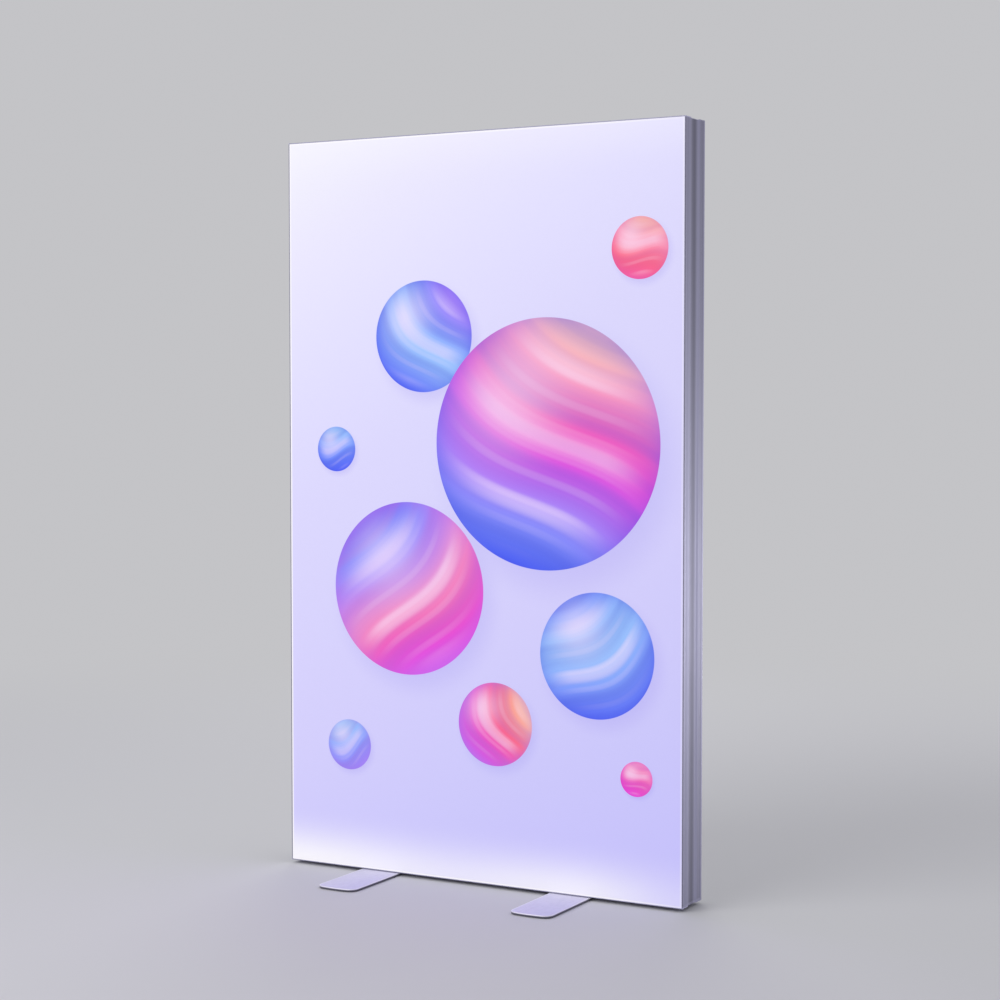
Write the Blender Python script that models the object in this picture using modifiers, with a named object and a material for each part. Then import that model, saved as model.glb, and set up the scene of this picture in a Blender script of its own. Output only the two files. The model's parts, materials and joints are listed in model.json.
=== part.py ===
"""A free-standing light box display wall.

A mitred aluminium frame holds a fabric graphic and a fabric liner by silicone edges pressed
into grooves. Two light bars shine along the inside, a driver feeds them, and the mains comes
in at a flush inlet with a switch. Two flat feet swivel under the bottom rail.

Metres, +Z up, front towards -Y. The origin is on the floor under the middle of the frame.
"""

import math

import bmesh
import bpy
from mathutils import Matrix, Vector

# Frame
FRAME_WIDTH = 1.200
FRAME_HEIGHT = 2.000
FRAME_DEPTH = 0.120

# Clearances
SEAT_GAP = 0.0003
MITRE_GAP = 0.0002
CUT_OVERRUN = 0.0010

# Extrusion: u runs through the depth, v runs inwards from the outer face
WALL = 0.0020
EDGE_RADIUS = 0.0008
CHAMBER_HEIGHT = 0.0220
TROUGH_WIDTH = 0.0125
CHANNEL_DEPTH = 0.0018
CHANNEL_FLAT = 0.0160
CHANNEL_SLOPE = 0.0150
LINE_PLACE = 0.0455
LINE_WIDTH = 0.0060
LINE_DEPTH = 0.0005
GROOVE_DEPTH = 0.0155
INNER_LIP = 0.0018
HOOK_THICK = 0.0015
HOOK_LIP = 0.0015

# Graphic, liner and their silicone edges
FABRIC_THICK = 0.0005
FABRIC_INSET = 0.0002
KEDER_THICK = 0.0026
KEDER_END_GAP = 0.0005
KEDER_ROUND = 0.0006

# Corner brackets and their set screws
BRACKET_ARM = 0.1200
BRACKET_CHAMFER = 0.0030
SET_SCREW_RADIUS = 0.0030
SET_SCREW_LENGTH = 0.0080
SET_SCREW_INSET = 0.0900
SET_SCREW_SOCKET = 0.0017

# Light bars
BOARD_WIDTH = 0.0254
BOARD_THICK = 0.0018
BOARD_END = 0.0550
PLUG_LENGTH = 0.0140
PLUG_WIDTH = 0.0100
PLUG_HEIGHT = 0.0060
LENS_BASE = 0.0012
LENS_RADIUS = 0.0078
LENS_HEIGHT = 0.0060
LENS_PITCH = 0.0600
LENS_END = 0.0100

# Driver
DRIVER_BOTTOM = 0.2850
DRIVER_LENGTH = 0.1900
DRIVER_WIDTH = 0.0520
DRIVER_HEIGHT = 0.0300
DRIVER_ROUND = 0.0030
FIN_HEIGHT = 0.0020
FIN_COUNT = 7
CAP_LENGTH = 0.0120
CAP_OVERHANG = 0.0010
EAR_LENGTH = 0.0140
EAR_THICK = 0.0030
GLAND_RADIUS = 0.0050
GLAND_LENGTH = 0.0080
GLAND_HEIGHT = 0.0190
GLAND_SPREAD = 0.0100

# Small screws of the driver and the brace
SCREW_RADIUS = 0.0020
SCREW_LENGTH = 0.0120
SCREW_HEAD_RADIUS = 0.0037
SCREW_HEAD_HEIGHT = 0.0024
SCREW_SOCKET = 0.0014
SCREW_FIT = 0.0002

# Mains inlet with its switch
INLET_HEIGHT = 0.2000
FLANGE_LENGTH = 0.0580
FLANGE_THICK = 0.0013
FLANGE_LIP = 0.0022
FLANGE_ROUND = 0.0025
MODULE_END = 0.0055
MODULE_TAIL = 0.0020
SOCKET_WALL = 0.0015
SOCKET_HEIGHT = 0.0165
SOCKET_DEPTH = 0.0170
SOCKET_CHAMFER = 0.0040
PIN_LENGTH = 0.0115
PIN_WIDTH = 0.0020
PIN_HEIGHT = 0.0040
PIN_SPREAD = 0.0070
EARTH_OFFSET = 0.0040
WINDOW_MARGIN = 0.0010

# Switch rocker
ROCKER_LENGTH = 0.0180
ROCKER_WIDTH = 0.0120
ROCKER_DROP = 0.0014
ROCKER_PIVOT = 0.0050
ROCKER_KEEL = 0.0040
ROCKER_AXLE = 0.0014
ROCKER_STUB = 0.0010
BAY_DEPTH = 0.0120
BAY_GAP = 0.0004

# Brace tube between the posts
BRACE_RADIUS = 0.0110
BRACE_WALL = 0.0015
BRACE_PEG = 0.0300
BRACE_PLATE = 0.0050
BRACE_PLATE_WIDTH = 0.0340
BRACE_PLATE_LENGTH = 0.0600
BRACE_SCREW_SPREAD = 0.0210
BRACE_PLATE_ROUND = 0.0060

# Leads, and the clips that hold one in its trough
MAINS_RADIUS = 0.0025
LEAD_RADIUS = 0.0020
LEAD_REST = 0.0006
CLIP_LENGTH = 0.0100
CLIP_TOP = 0.0015

# Feet
LEFT_FOOT_PLACE = -0.3055
RIGHT_FOOT_PLACE = 0.2785
FOOT_LENGTH = 0.5800
FOOT_WIDTH = 0.1180
FOOT_THICK = 0.0060
FOOT_CORNER = 0.0200
FOOT_BOW = 0.0060
FOOT_EDGE = 0.0015
FOOT_CLEARANCE = 0.0010
PAD_THICK = 0.0015
PAD_INSET = 0.0060
PAD_WINDOW = 0.0200

# Swivel of each foot
BOLT_RADIUS = 0.0040
BOLT_HEAD_RADIUS = 0.0080
BOLT_SOCKET = 0.0028
BOLT_SOCKET_DEPTH = 0.0026
BOLT_HEAD_SINK = 0.0004
BOLT_FIT = 0.0003
BOLT_END = 0.0010
NUT_PLATE_THICK = 0.0080
NUT_PLATE_LENGTH = 0.0400
DISC_MARGIN = 0.0010

# Angles and the number of steps on round forms
SHARP_ANGLE = math.radians(32)
ROCKER_TILT = math.radians(7)
CHANNEL_STEPS = 8
LINE_STEPS = 4
EDGE_STEPS = 3
CORNER_STEPS = 6
BOW_STEPS = 4
ROUND_STEPS = 4
SCREW_SIDES = 12
BOLT_SIDES = 24
TUBE_SIDES = 24
LENS_SIDES = 10
LENS_RINGS = 3
HEX_SIDES = 6
MAINS_STEPS = 14
BEND_STEPS = 24
BEVEL_SEGMENTS = 2
TURN_MERGE = 0.00001

# Places where clips hold the long lead, as shares of its straight run up the post
CLIP_HEIGHT_SHARES = (0.08, 0.66)

# Places worked out from the sizes above
HALF_WIDTH = FRAME_WIDTH / 2
HALF_HEIGHT = FRAME_HEIGHT / 2
HALF_DEPTH = FRAME_DEPTH / 2
FOOT_BOTTOM = PAD_THICK + SEAT_GAP
FOOT_TOP = FOOT_BOTTOM + FOOT_THICK
FRAME_BOTTOM = FOOT_TOP + FOOT_CLEARANCE
FRAME_MIDDLE = FRAME_BOTTOM + HALF_HEIGHT
FRAME_TOP = FRAME_BOTTOM + FRAME_HEIGHT

GROOVE_FLOOR = HALF_DEPTH - GROOVE_DEPTH
GROOVE_IN = WALL + KEDER_THICK + 2 * SEAT_GAP
LIP_BACK = FABRIC_INSET + FABRIC_THICK + SEAT_GAP
SHOULDER = GROOVE_FLOOR - WALL
CHAMBER_HALF = SHOULDER - TROUGH_WIDTH
CHAMBER_FLOOR = CHANNEL_DEPTH + WALL
CHAMBER_ROOF = CHAMBER_HEIGHT - WALL
CHAMBER_SIDE = CHAMBER_HALF - WALL
CHAMBER_CLEAR = CHAMBER_SIDE - SEAT_GAP
HOOK_IN = BOARD_WIDTH / 2 + SEAT_GAP
HOOK_OUT = HOOK_IN + HOOK_THICK
HOOK_UNDER = CHAMBER_HEIGHT + BOARD_THICK + 2 * SEAT_GAP
HOOK_TOP = HOOK_UNDER + HOOK_THICK

BOARD_FACE = CHAMBER_HEIGHT + SEAT_GAP + BOARD_THICK
BOARD_HALF = HALF_WIDTH - BOARD_END
PLUG_MIDDLE = BOARD_FACE + PLUG_HEIGHT / 2

MOUNT_FACE = HOOK_TOP + SEAT_GAP
DRIVER_TOP = DRIVER_BOTTOM + DRIVER_LENGTH
DRIVER_OUTLET = DRIVER_TOP + CAP_LENGTH + GLAND_LENGTH + 2 * SEAT_GAP
DRIVER_INTAKE = DRIVER_BOTTOM - CAP_LENGTH - GLAND_LENGTH - 2 * SEAT_GAP
GLAND_V = MOUNT_FACE + GLAND_HEIGHT

FLANGE_HALF = CHANNEL_FLAT - SEAT_GAP
FLANGE_UNDER = CHANNEL_DEPTH - SEAT_GAP
FLANGE_FACE = FLANGE_UNDER - FLANGE_THICK
MODULE_HALF = FLANGE_HALF - FLANGE_LIP
MODULE_HALF_LENGTH = FLANGE_LENGTH / 2 - MODULE_END
MODULE_BACK = CHAMBER_HEIGHT + MODULE_TAIL
SOCKET_HALF = MODULE_HALF - SOCKET_WALL
SOCKET_PLACE = INLET_HEIGHT - MODULE_HALF_LENGTH + SOCKET_WALL + SOCKET_HEIGHT / 2
BAY_HALF_LENGTH = (
    ROCKER_LENGTH / 2 * math.cos(ROCKER_TILT)
    + (ROCKER_PIVOT - ROCKER_DROP) * math.sin(ROCKER_TILT)
    + BAY_GAP
)
ROCKER_PLACE = INLET_HEIGHT + MODULE_HALF_LENGTH - SOCKET_WALL - BAY_HALF_LENGTH

TROUGH_MIDDLE = CHAMBER_HALF + TROUGH_WIDTH / 2
TROUGH_LEAD = WALL + LEAD_REST + LEAD_RADIUS

# The four sides of the frame: the way inwards, the middle of the outer face, half the length
SIDES = {
    "left": (Vector((1, 0, 0)), Vector((-HALF_WIDTH, 0, FRAME_MIDDLE)), HALF_HEIGHT),
    "right": (Vector((-1, 0, 0)), Vector((HALF_WIDTH, 0, FRAME_MIDDLE)), HALF_HEIGHT),
    "bottom": (Vector((0, 0, 1)), Vector((0, 0, FRAME_BOTTOM)), HALF_WIDTH),
    "top": (Vector((0, 0, -1)), Vector((0, 0, FRAME_TOP)), HALF_WIDTH),
}

# Finishes: colour, roughness, metallic
FINISHES = {
    "silver": ((0.72, 0.72, 0.76), 0.34, 0.85),
    "graphic": ((0.84, 0.82, 0.98), 0.70, 0.0),
    "liner": ((0.90, 0.90, 0.91), 0.80, 0.0),
    "silicone": ((0.86, 0.86, 0.84), 0.45, 0.0),
    "cast": ((0.55, 0.56, 0.58), 0.50, 0.70),
    "steel": ((0.60, 0.61, 0.62), 0.30, 1.0),
    "board": ((0.88, 0.89, 0.90), 0.40, 0.0),
    "lens": ((0.92, 0.94, 0.96), 0.10, 0.0),
    "driver": ((0.62, 0.63, 0.66), 0.40, 0.60),
    "black": ((0.03, 0.03, 0.035), 0.45, 0.0),
    "lead": ((0.85, 0.85, 0.85), 0.50, 0.0),
    "foot": ((0.74, 0.74, 0.78), 0.42, 0.10),
    "pad": ((0.04, 0.04, 0.04), 0.85, 0.0),
    "nylon": ((0.80, 0.80, 0.78), 0.55, 0.0),
}


# Helpers


def start():
    """Empty the scene and make the collections for the parts and for their cutters."""
    for obj in list(bpy.data.objects):
        bpy.data.objects.remove(obj, do_unlink=True)
    for name in ("light_box", "light_box_cutters"):
        collection = bpy.data.collections.new(name)
        bpy.context.scene.collection.children.link(collection)


def finish(obj, name):
    """Give an object a material of its own with the named finish."""
    colour, roughness, metallic = FINISHES[name]
    material = bpy.data.materials.new(f"{obj.name}_{name}")
    material.use_nodes = True
    shader = material.node_tree.nodes["Principled BSDF"]
    shader.inputs["Base Color"].default_value = (*colour, 1)
    shader.inputs["Roughness"].default_value = roughness
    shader.inputs["Metallic"].default_value = metallic
    material.diffuse_color = (*colour, 1)
    obj.data.materials.clear()
    obj.data.materials.append(material)


def add(name, mesh, matrix, look):
    """Link a mesh as a part, or as a cutter where no look is given."""
    obj = bpy.data.objects.new(name, mesh)
    obj.matrix_world = matrix
    if look:
        bpy.data.collections["light_box"].objects.link(obj)
        finish(obj, look)
        obj.data.shade_smooth()
        obj.data.set_sharp_from_angle(angle=SHARP_ANGLE)
    else:
        bpy.data.collections["light_box_cutters"].objects.link(obj)
        obj.hide_render = True
        obj.display_type = "WIRE"
    return obj


def mesh_from(name, bm):
    bmesh.ops.recalc_face_normals(bm, faces=bm.faces)
    mesh = bpy.data.meshes.new(name)
    bm.to_mesh(mesh)
    bm.free()
    return mesh


def box(name, low, high, look=None, matrix=None):
    """A box between two corners, in the given frame."""
    low, high = Vector(low), Vector(high)
    bm = bmesh.new()
    place = Matrix.Translation((low + high) / 2) @ Matrix.Diagonal((*(high - low), 1))
    bmesh.ops.create_cube(bm, size=1, matrix=place)
    return add(name, mesh_from(name, bm), matrix or Matrix(), look)


def cylinder(name, radius, low, high, matrix, look=None, sides=SCREW_SIDES):
    """A cylinder along the frame's Z, from low to high."""
    bm = bmesh.new()
    place = Matrix.Translation((0, 0, (low + high) / 2))
    bmesh.ops.create_cone(
        bm,
        cap_ends=True,
        segments=sides,
        radius1=radius,
        radius2=radius,
        depth=high - low,
        matrix=place,
    )
    return add(name, mesh_from(name, bm), matrix, look)


def turned(name, profile, matrix, look=None, sides=SCREW_SIDES):
    """A solid turned about the frame's Z from (radius, height) points, listed top to bottom."""
    mesh = bpy.data.meshes.new(name)
    edges = [(i, i + 1) for i in range(len(profile) - 1)]
    mesh.from_pydata([(r, 0, z) for r, z in profile], edges, [])
    obj = add(name, mesh, matrix, look)
    screw = obj.modifiers.new("turn", "SCREW")
    screw.axis = "Z"
    screw.steps = sides
    screw.render_steps = sides
    screw.use_merge_vertices = True
    screw.merge_threshold = TURN_MERGE
    screw.use_normal_calculate = True
    return obj


def outline_mesh(name, outlines, half):
    """A flat outline, with its holes, extruded half a thickness each way along Z."""
    curve = bpy.data.curves.new(name, "CURVE")
    curve.dimensions = "2D"
    curve.fill_mode = "BOTH"
    curve.extrude = half
    for points in outlines:
        spline = curve.splines.new("POLY")
        spline.points.add(len(points) - 1)
        for point, (x, y) in zip(spline.points, points):
            point.co = (x, y, 0, 1)
        spline.use_cyclic_u = True
    guide = bpy.data.objects.new(name, curve)
    bpy.context.scene.collection.objects.link(guide)
    depsgraph = bpy.context.evaluated_depsgraph_get()
    mesh = bpy.data.meshes.new_from_object(guide.evaluated_get(depsgraph))
    bpy.data.objects.remove(guide, do_unlink=True)
    bpy.data.curves.remove(curve)
    bm = bmesh.new()
    bm.from_mesh(mesh)
    bpy.data.meshes.remove(mesh)
    bmesh.ops.remove_doubles(bm, verts=bm.verts, dist=TURN_MERGE)
    return bm


def extruded(name, outlines, half, matrix, look=None):
    """An object from an extruded outline, centred on the frame's XY plane."""
    bm = outline_mesh(name, outlines, half)
    return add(name, mesh_from(name, bm), matrix, look)


def tube(name, points, radius, look):
    """A lead: a round tube with closed ends along the points."""
    curve = bpy.data.curves.new(name, "CURVE")
    curve.dimensions = "3D"
    curve.bevel_depth = radius
    curve.bevel_resolution = BEVEL_SEGMENTS
    curve.use_fill_caps = True
    spline = curve.splines.new("POLY")
    spline.points.add(len(points) - 1)
    for point, place in zip(spline.points, points):
        point.co = (*place, 1)
    obj = bpy.data.objects.new(name, curve)
    bpy.data.collections["light_box"].objects.link(obj)
    finish(obj, look)
    return obj


def boolean(target, operation, others):
    for other in others:
        modifier = target.modifiers.new(other.name, "BOOLEAN")
        modifier.operation = operation
        modifier.solver = "EXACT"
        modifier.object = other
    return target


def cut(target, *cutters):
    return boolean(target, "DIFFERENCE", cutters)


def join(target, *pieces):
    return boolean(target, "UNION", pieces)


def arc(centre, radius, start_turn, end_turn, steps):
    """Points on an arc between two angles, in turns of a quarter."""
    points = []
    for i in range(steps + 1):
        angle = math.pi / 2 * (start_turn + (end_turn - start_turn) * i / steps)
        points.append((centre[0] + radius * math.cos(angle), centre[1] + radius * math.sin(angle)))
    return points


def circle(radius, sides):
    return arc((0, 0), radius, 0, 4, sides)[:-1]


def rounded(half_x, half_y, radius, steps=ROUND_STEPS):
    """A rectangle with round corners, centred on zero."""
    points = []
    for turn, (sx, sy) in enumerate(((1, 1), (-1, 1), (-1, -1), (1, -1))):
        centre = (sx * (half_x - radius), sy * (half_y - radius))
        points += arc(centre, radius, turn, turn + 1, steps)
    return points


def mirrored(half):
    """A closed outline from its half with u above zero."""
    return half + [(-u, v) for u, v in reversed(half)]


def smooth_route(points, steps):
    """Evenly spaced points on a smooth curve through the route's own points."""
    points = [Vector(p) for p in points]
    ends = [2 * points[0] - points[1], *points, 2 * points[-1] - points[-2]]
    fine = []
    for i in range(1, len(ends) - 2):
        p0, p1, p2, p3 = ends[i - 1 : i + 3]
        t1 = (p1 - p0).length ** 0.5
        t2 = t1 + (p2 - p1).length ** 0.5
        t3 = t2 + (p3 - p2).length ** 0.5
        for k in range(steps):
            t = t1 + (t2 - t1) * k / steps
            a1 = p0.lerp(p1, t / t1)
            a2 = p1.lerp(p2, (t - t1) / (t2 - t1))
            a3 = p2.lerp(p3, (t - t2) / (t3 - t2))
            b1 = a1.lerp(a2, t / t2)
            b2 = a2.lerp(a3, (t - t1) / (t3 - t1))
            fine.append(b1.lerp(b2, (t - t1) / (t2 - t1)))
    fine.append(points[-1])
    lengths = [0]
    for a, b in zip(fine, fine[1:]):
        lengths.append(lengths[-1] + (b - a).length)
    spaced = []
    k = 0
    for i in range(steps + 1):
        target = lengths[-1] * i / steps
        while k < len(fine) - 2 and lengths[k + 1] < target:
            k += 1
        share = (target - lengths[k]) / (lengths[k + 1] - lengths[k])
        spaced.append(fine[k].lerp(fine[k + 1], share))
    return spaced


def side_frame(side):
    """The frame of one side of the box: X is the depth, Y runs inwards, Z runs along the side."""
    inwards, middle, _ = SIDES[side]
    depth = Vector((0, 1, 0))
    along = depth.cross(inwards)
    turn = Matrix((depth, inwards, along)).transposed().to_4x4()
    return Matrix.Translation(middle) @ turn


def inward_frame(side, along, v):
    """A frame on one side whose Z points inwards and Y is the depth, at a height or X along it."""
    inwards, middle, _ = SIDES[side]
    place = middle + inwards * v
    if side in ("left", "right"):
        place.z = along
    else:
        place.x = along
    depth = Vector((0, 1, 0))
    turn = Matrix((depth.cross(inwards), depth, inwards)).transposed()
    return Matrix.Translation(place) @ turn.to_4x4()


def post_frame(height):
    """The left post's own frame, moved to a height."""
    return Matrix.Translation((0, 0, height - FRAME_MIDDLE)) @ side_frame("left")


def outward_frame(height, v):
    """A frame on the left post whose Z points out of it and Y is up."""
    turn = Matrix(((0, -1, 0), (0, 0, 1), (-1, 0, 0))).transposed()
    return Matrix.Translation((-HALF_WIDTH + v, 0, height)) @ turn.to_4x4()


# Frame


def channel(reach, offset):
    """Half of the soft channel in the outer face, from its flat out to a reach."""
    points = []
    for i in range(CHANNEL_STEPS + 1):
        along = (reach - CHANNEL_FLAT) * i / CHANNEL_STEPS
        v = CHANNEL_DEPTH * (1 + math.cos(math.pi * along / CHANNEL_SLOPE)) / 2
        points.append((CHANNEL_FLAT + along, v + offset))
    return points


def shallow_line():
    """The shallow groove that runs along the outer face beside each edge."""
    points = []
    for i in range(LINE_STEPS + 1):
        v = LINE_DEPTH * (1 - math.cos(2 * math.pi * i / LINE_STEPS)) / 2
        points.append((LINE_PLACE + LINE_WIDTH * (i / LINE_STEPS - 1 / 2), v))
    return points


def section():
    """The outline of the extrusion: channel and lines, grooves, chamber and hooks."""
    edge = (HALF_DEPTH - EDGE_RADIUS, EDGE_RADIUS)
    nose = (HALF_DEPTH - LIP_BACK - INNER_LIP / 2, GROOVE_IN + INNER_LIP / 2)
    half = channel(CHANNEL_FLAT + CHANNEL_SLOPE, 0) + shallow_line()
    half += arc(edge, EDGE_RADIUS, -1, 0, EDGE_STEPS)
    half += [(HALF_DEPTH, WALL), (GROOVE_FLOOR, WALL), (GROOVE_FLOOR, GROOVE_IN)]
    half += arc(nose, INNER_LIP / 2, -1, 1, 2 * EDGE_STEPS)
    half += [
        (SHOULDER, GROOVE_IN + INNER_LIP),
        (SHOULDER, WALL),
        (CHAMBER_HALF, WALL),
        (CHAMBER_HALF, CHAMBER_HEIGHT),
        (HOOK_OUT, CHAMBER_HEIGHT),
        (HOOK_OUT, HOOK_TOP),
        (HOOK_IN - HOOK_LIP, HOOK_TOP),
        (HOOK_IN - HOOK_LIP, HOOK_UNDER),
        (HOOK_IN, HOOK_UNDER),
        (HOOK_IN, CHAMBER_HEIGHT),
    ]
    return mirrored(half)


def chamber():
    """The hollow of the extrusion, which follows the channel."""
    return mirrored(channel(CHAMBER_SIDE, WALL) + [(CHAMBER_SIDE, CHAMBER_ROOF)])


def mitred(name, outlines, side, look):
    """A length of an extrusion along one side, with both ends cut to the mitre."""
    half = SIDES[side][2]
    bm = outline_mesh(name, outlines, half)
    for vert in bm.verts:
        shift = vert.co.y + MITRE_GAP
        vert.co.z -= math.copysign(shift, vert.co.z)
    return add(name, mesh_from(name, bm), side_frame(side), look)


def frame_bars():
    """Two posts and two rails of the one extrusion."""
    names = {"left": "post_left", "right": "post_right", "bottom": "rail_bottom", "top": "rail_top"}
    outlines = [section(), chamber()]
    return {side: mitred(name, outlines, side, "silver") for side, name in names.items()}


def corner_sides():
    return [(post, rail) for rail in ("bottom", "top") for post in ("left", "right")]


def corner_bracket(post, rail):
    """A cast bracket inside the chambers of two bars that meet at a corner."""
    low = CHAMBER_FLOOR + SEAT_GAP
    high = CHAMBER_ROOF - SEAT_GAP
    arm = BRACKET_ARM
    nip = BRACKET_CHAMFER
    outline = [
        (low + nip, low),
        (arm - nip, low),
        (arm, low + nip),
        (arm, high - nip),
        (arm - nip, high),
        (high, high),
        (high, arm - nip),
        (high - nip, arm),
        (low + nip, arm),
        (low, arm - nip),
        (low, low + nip),
    ]
    x_way = SIDES[post][0].x
    z_way = SIDES[rail][0].z
    x = SIDES[post][1].x
    z = SIDES[rail][1].z
    points = [(x + x_way * p, z + z_way * q) for p, q in outline]
    upright = Matrix.Rotation(math.pi / 2, 4, "X")
    return extruded(f"corner_bracket_{rail}_{post}", [points], CHAMBER_CLEAR, upright, "cast")


def hex_cutter(name, radius, depth, frame):
    return cylinder(name, radius, -depth, CUT_OVERRUN, frame, sides=HEX_SIDES)


def set_screw(name, side, other, bar, bracket):
    """A set screw through the inner wall of a bar that locks the bracket's arm."""
    reach = SIDES[side][2] - SET_SCREW_INSET
    if side in ("left", "right"):
        along = FRAME_MIDDLE - SIDES[other][0].z * reach
    else:
        along = -SIDES[other][0].x * reach
    frame = inward_frame(side, along, CHAMBER_HEIGHT)
    profile = [
        (0, 0),
        (SET_SCREW_RADIUS, 0),
        (SET_SCREW_RADIUS, -SET_SCREW_LENGTH),
        (0, -SET_SCREW_LENGTH),
    ]
    screw = turned(name, profile, frame, "steel")
    cut(screw, hex_cutter(f"{name}_socket", SET_SCREW_SOCKET, SET_SCREW_LENGTH / 2, frame))
    hole = cylinder(
        f"{name}_hole",
        SET_SCREW_RADIUS + SEAT_GAP,
        -SET_SCREW_LENGTH - SEAT_GAP,
        CUT_OVERRUN,
        frame,
    )
    cut(bar, hole)
    cut(bracket, hole)


def corners(bars):
    for post, rail in corner_sides():
        bracket = corner_bracket(post, rail)
        set_screw(f"set_screw_post_{rail}_{post}", post, rail, bars[post], bracket)
        set_screw(f"set_screw_rail_{rail}_{post}", rail, post, bars[rail], bracket)


# Graphic and liner


def keder_outline(way):
    """The section of a silicone edge strip in the groove of the front (-1) or the rear (1)."""
    half_u = (GROOVE_DEPTH - KEDER_END_GAP - LIP_BACK) / 2
    middle_u = way * (GROOVE_FLOOR + KEDER_END_GAP + half_u)
    middle_v = WALL + SEAT_GAP + KEDER_THICK / 2
    shape = rounded(half_u, KEDER_THICK / 2, KEDER_ROUND, EDGE_STEPS)
    return [(middle_u + u, middle_v + v) for u, v in shape]


def fabric_panel(name, way, look):
    """A stretched fabric between the outer lips, flush with the frame's face."""
    half_x = HALF_WIDTH - WALL - SEAT_GAP
    low_z = FRAME_BOTTOM + WALL + SEAT_GAP
    high_z = FRAME_TOP - WALL - SEAT_GAP
    outer = way * (HALF_DEPTH - FABRIC_INSET)
    inner = way * (HALF_DEPTH - FABRIC_INSET - FABRIC_THICK)
    low = (-half_x, min(outer, inner), low_z)
    high = (half_x, max(outer, inner), high_z)
    return box(name, low, high, look)


def fabrics():
    fabric_panel("front_graphic", -1, "graphic")
    fabric_panel("rear_liner", 1, "liner")
    for face, way in (("front", -1), ("rear", 1)):
        for side in SIDES:
            mitred(f"keder_{face}_{side}", [keder_outline(way)], side, "silicone")


# Light bars


def lens_profile():
    """Half a dome, from its top to its sunk foot."""
    points = []
    for i in range(LENS_RINGS + 1):
        angle = math.pi / 2 * i / LENS_RINGS
        points.append((LENS_RADIUS * math.sin(angle), LENS_HEIGHT * math.cos(angle)))
    points.append((LENS_RADIUS, -LENS_BASE / 2))
    points.append((0, -LENS_BASE / 2))
    return points


def dome_row(name, places, frame):
    """Separate domes in one mesh, standing on the strip at places along the side."""
    pattern = turned(f"{name}_pattern", lens_profile(), Matrix(), sides=LENS_SIDES)
    depsgraph = bpy.context.evaluated_depsgraph_get()
    mesh = bpy.data.meshes.new_from_object(pattern.evaluated_get(depsgraph))
    bpy.data.objects.remove(pattern, do_unlink=True)
    stand = Matrix.Rotation(-math.pi / 2, 4, "X")
    bm = bmesh.new()
    for along in places:
        before = len(bm.verts)
        bm.from_mesh(mesh)
        bm.verts.ensure_lookup_table()
        move = Matrix.Translation((0, BOARD_FACE + SEAT_GAP + LENS_BASE, along)) @ stand
        bmesh.ops.transform(bm, matrix=move, verts=bm.verts[before:])
    bpy.data.meshes.remove(mesh)
    return add(name, mesh_from(name, bm), frame, None)


def light_bar(side):
    """A board under the hooks of a rail, with a plug at its left end and a strip of lenses."""
    frame = side_frame(side)
    left = math.copysign(1, frame.col[2].x)
    board = box(
        f"led_board_{side}",
        (-BOARD_WIDTH / 2, CHAMBER_HEIGHT + SEAT_GAP, -BOARD_HALF),
        (BOARD_WIDTH / 2, BOARD_FACE, BOARD_HALF),
        "board",
        frame,
    )
    plug_ends = sorted((-left * BOARD_HALF, -left * (BOARD_HALF - PLUG_LENGTH)))
    plug = box(
        f"led_board_{side}_plug",
        (-PLUG_WIDTH / 2, BOARD_FACE - BOARD_THICK / 2, plug_ends[0]),
        (PLUG_WIDTH / 2, BOARD_FACE + PLUG_HEIGHT, plug_ends[1]),
        matrix=frame,
    )
    join(board, plug)
    strip_ends = sorted((-left * (BOARD_HALF - PLUG_LENGTH - LENS_END), left * BOARD_HALF))
    half_strip = HOOK_IN - HOOK_LIP - SEAT_GAP
    strip = box(
        f"led_lens_{side}",
        (-half_strip, BOARD_FACE + SEAT_GAP, strip_ends[0]),
        (half_strip, BOARD_FACE + SEAT_GAP + LENS_BASE, strip_ends[1]),
        "lens",
        frame,
    )
    length = strip_ends[1] - strip_ends[0]
    count = int(length / LENS_PITCH)
    first = sum(strip_ends) / 2 - LENS_PITCH * (count - 1) / 2
    places = [first + LENS_PITCH * i for i in range(count)]
    join(strip, dome_row(f"led_lens_{side}_domes", places, frame))


# Driver


def driver_section():
    """The case's outline: round lower corners and a row of fins on its inward face."""
    half = DRIVER_WIDTH / 2
    pitch = DRIVER_WIDTH / (2 * FIN_COUNT - 1)
    valley = DRIVER_HEIGHT - FIN_HEIGHT
    points = arc((-half + DRIVER_ROUND, DRIVER_ROUND), DRIVER_ROUND, 2, 3, ROUND_STEPS)
    points += arc((half - DRIVER_ROUND, DRIVER_ROUND), DRIVER_ROUND, 3, 4, ROUND_STEPS)
    for i in range(FIN_COUNT):
        u = half - 2 * pitch * i
        points += [(u, DRIVER_HEIGHT), (u - pitch, DRIVER_HEIGHT)]
        if i < FIN_COUNT - 1:
            points += [(u - pitch, valley), (u - 2 * pitch, valley)]
    return [(u, MOUNT_FACE + v) for u, v in points]


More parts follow.
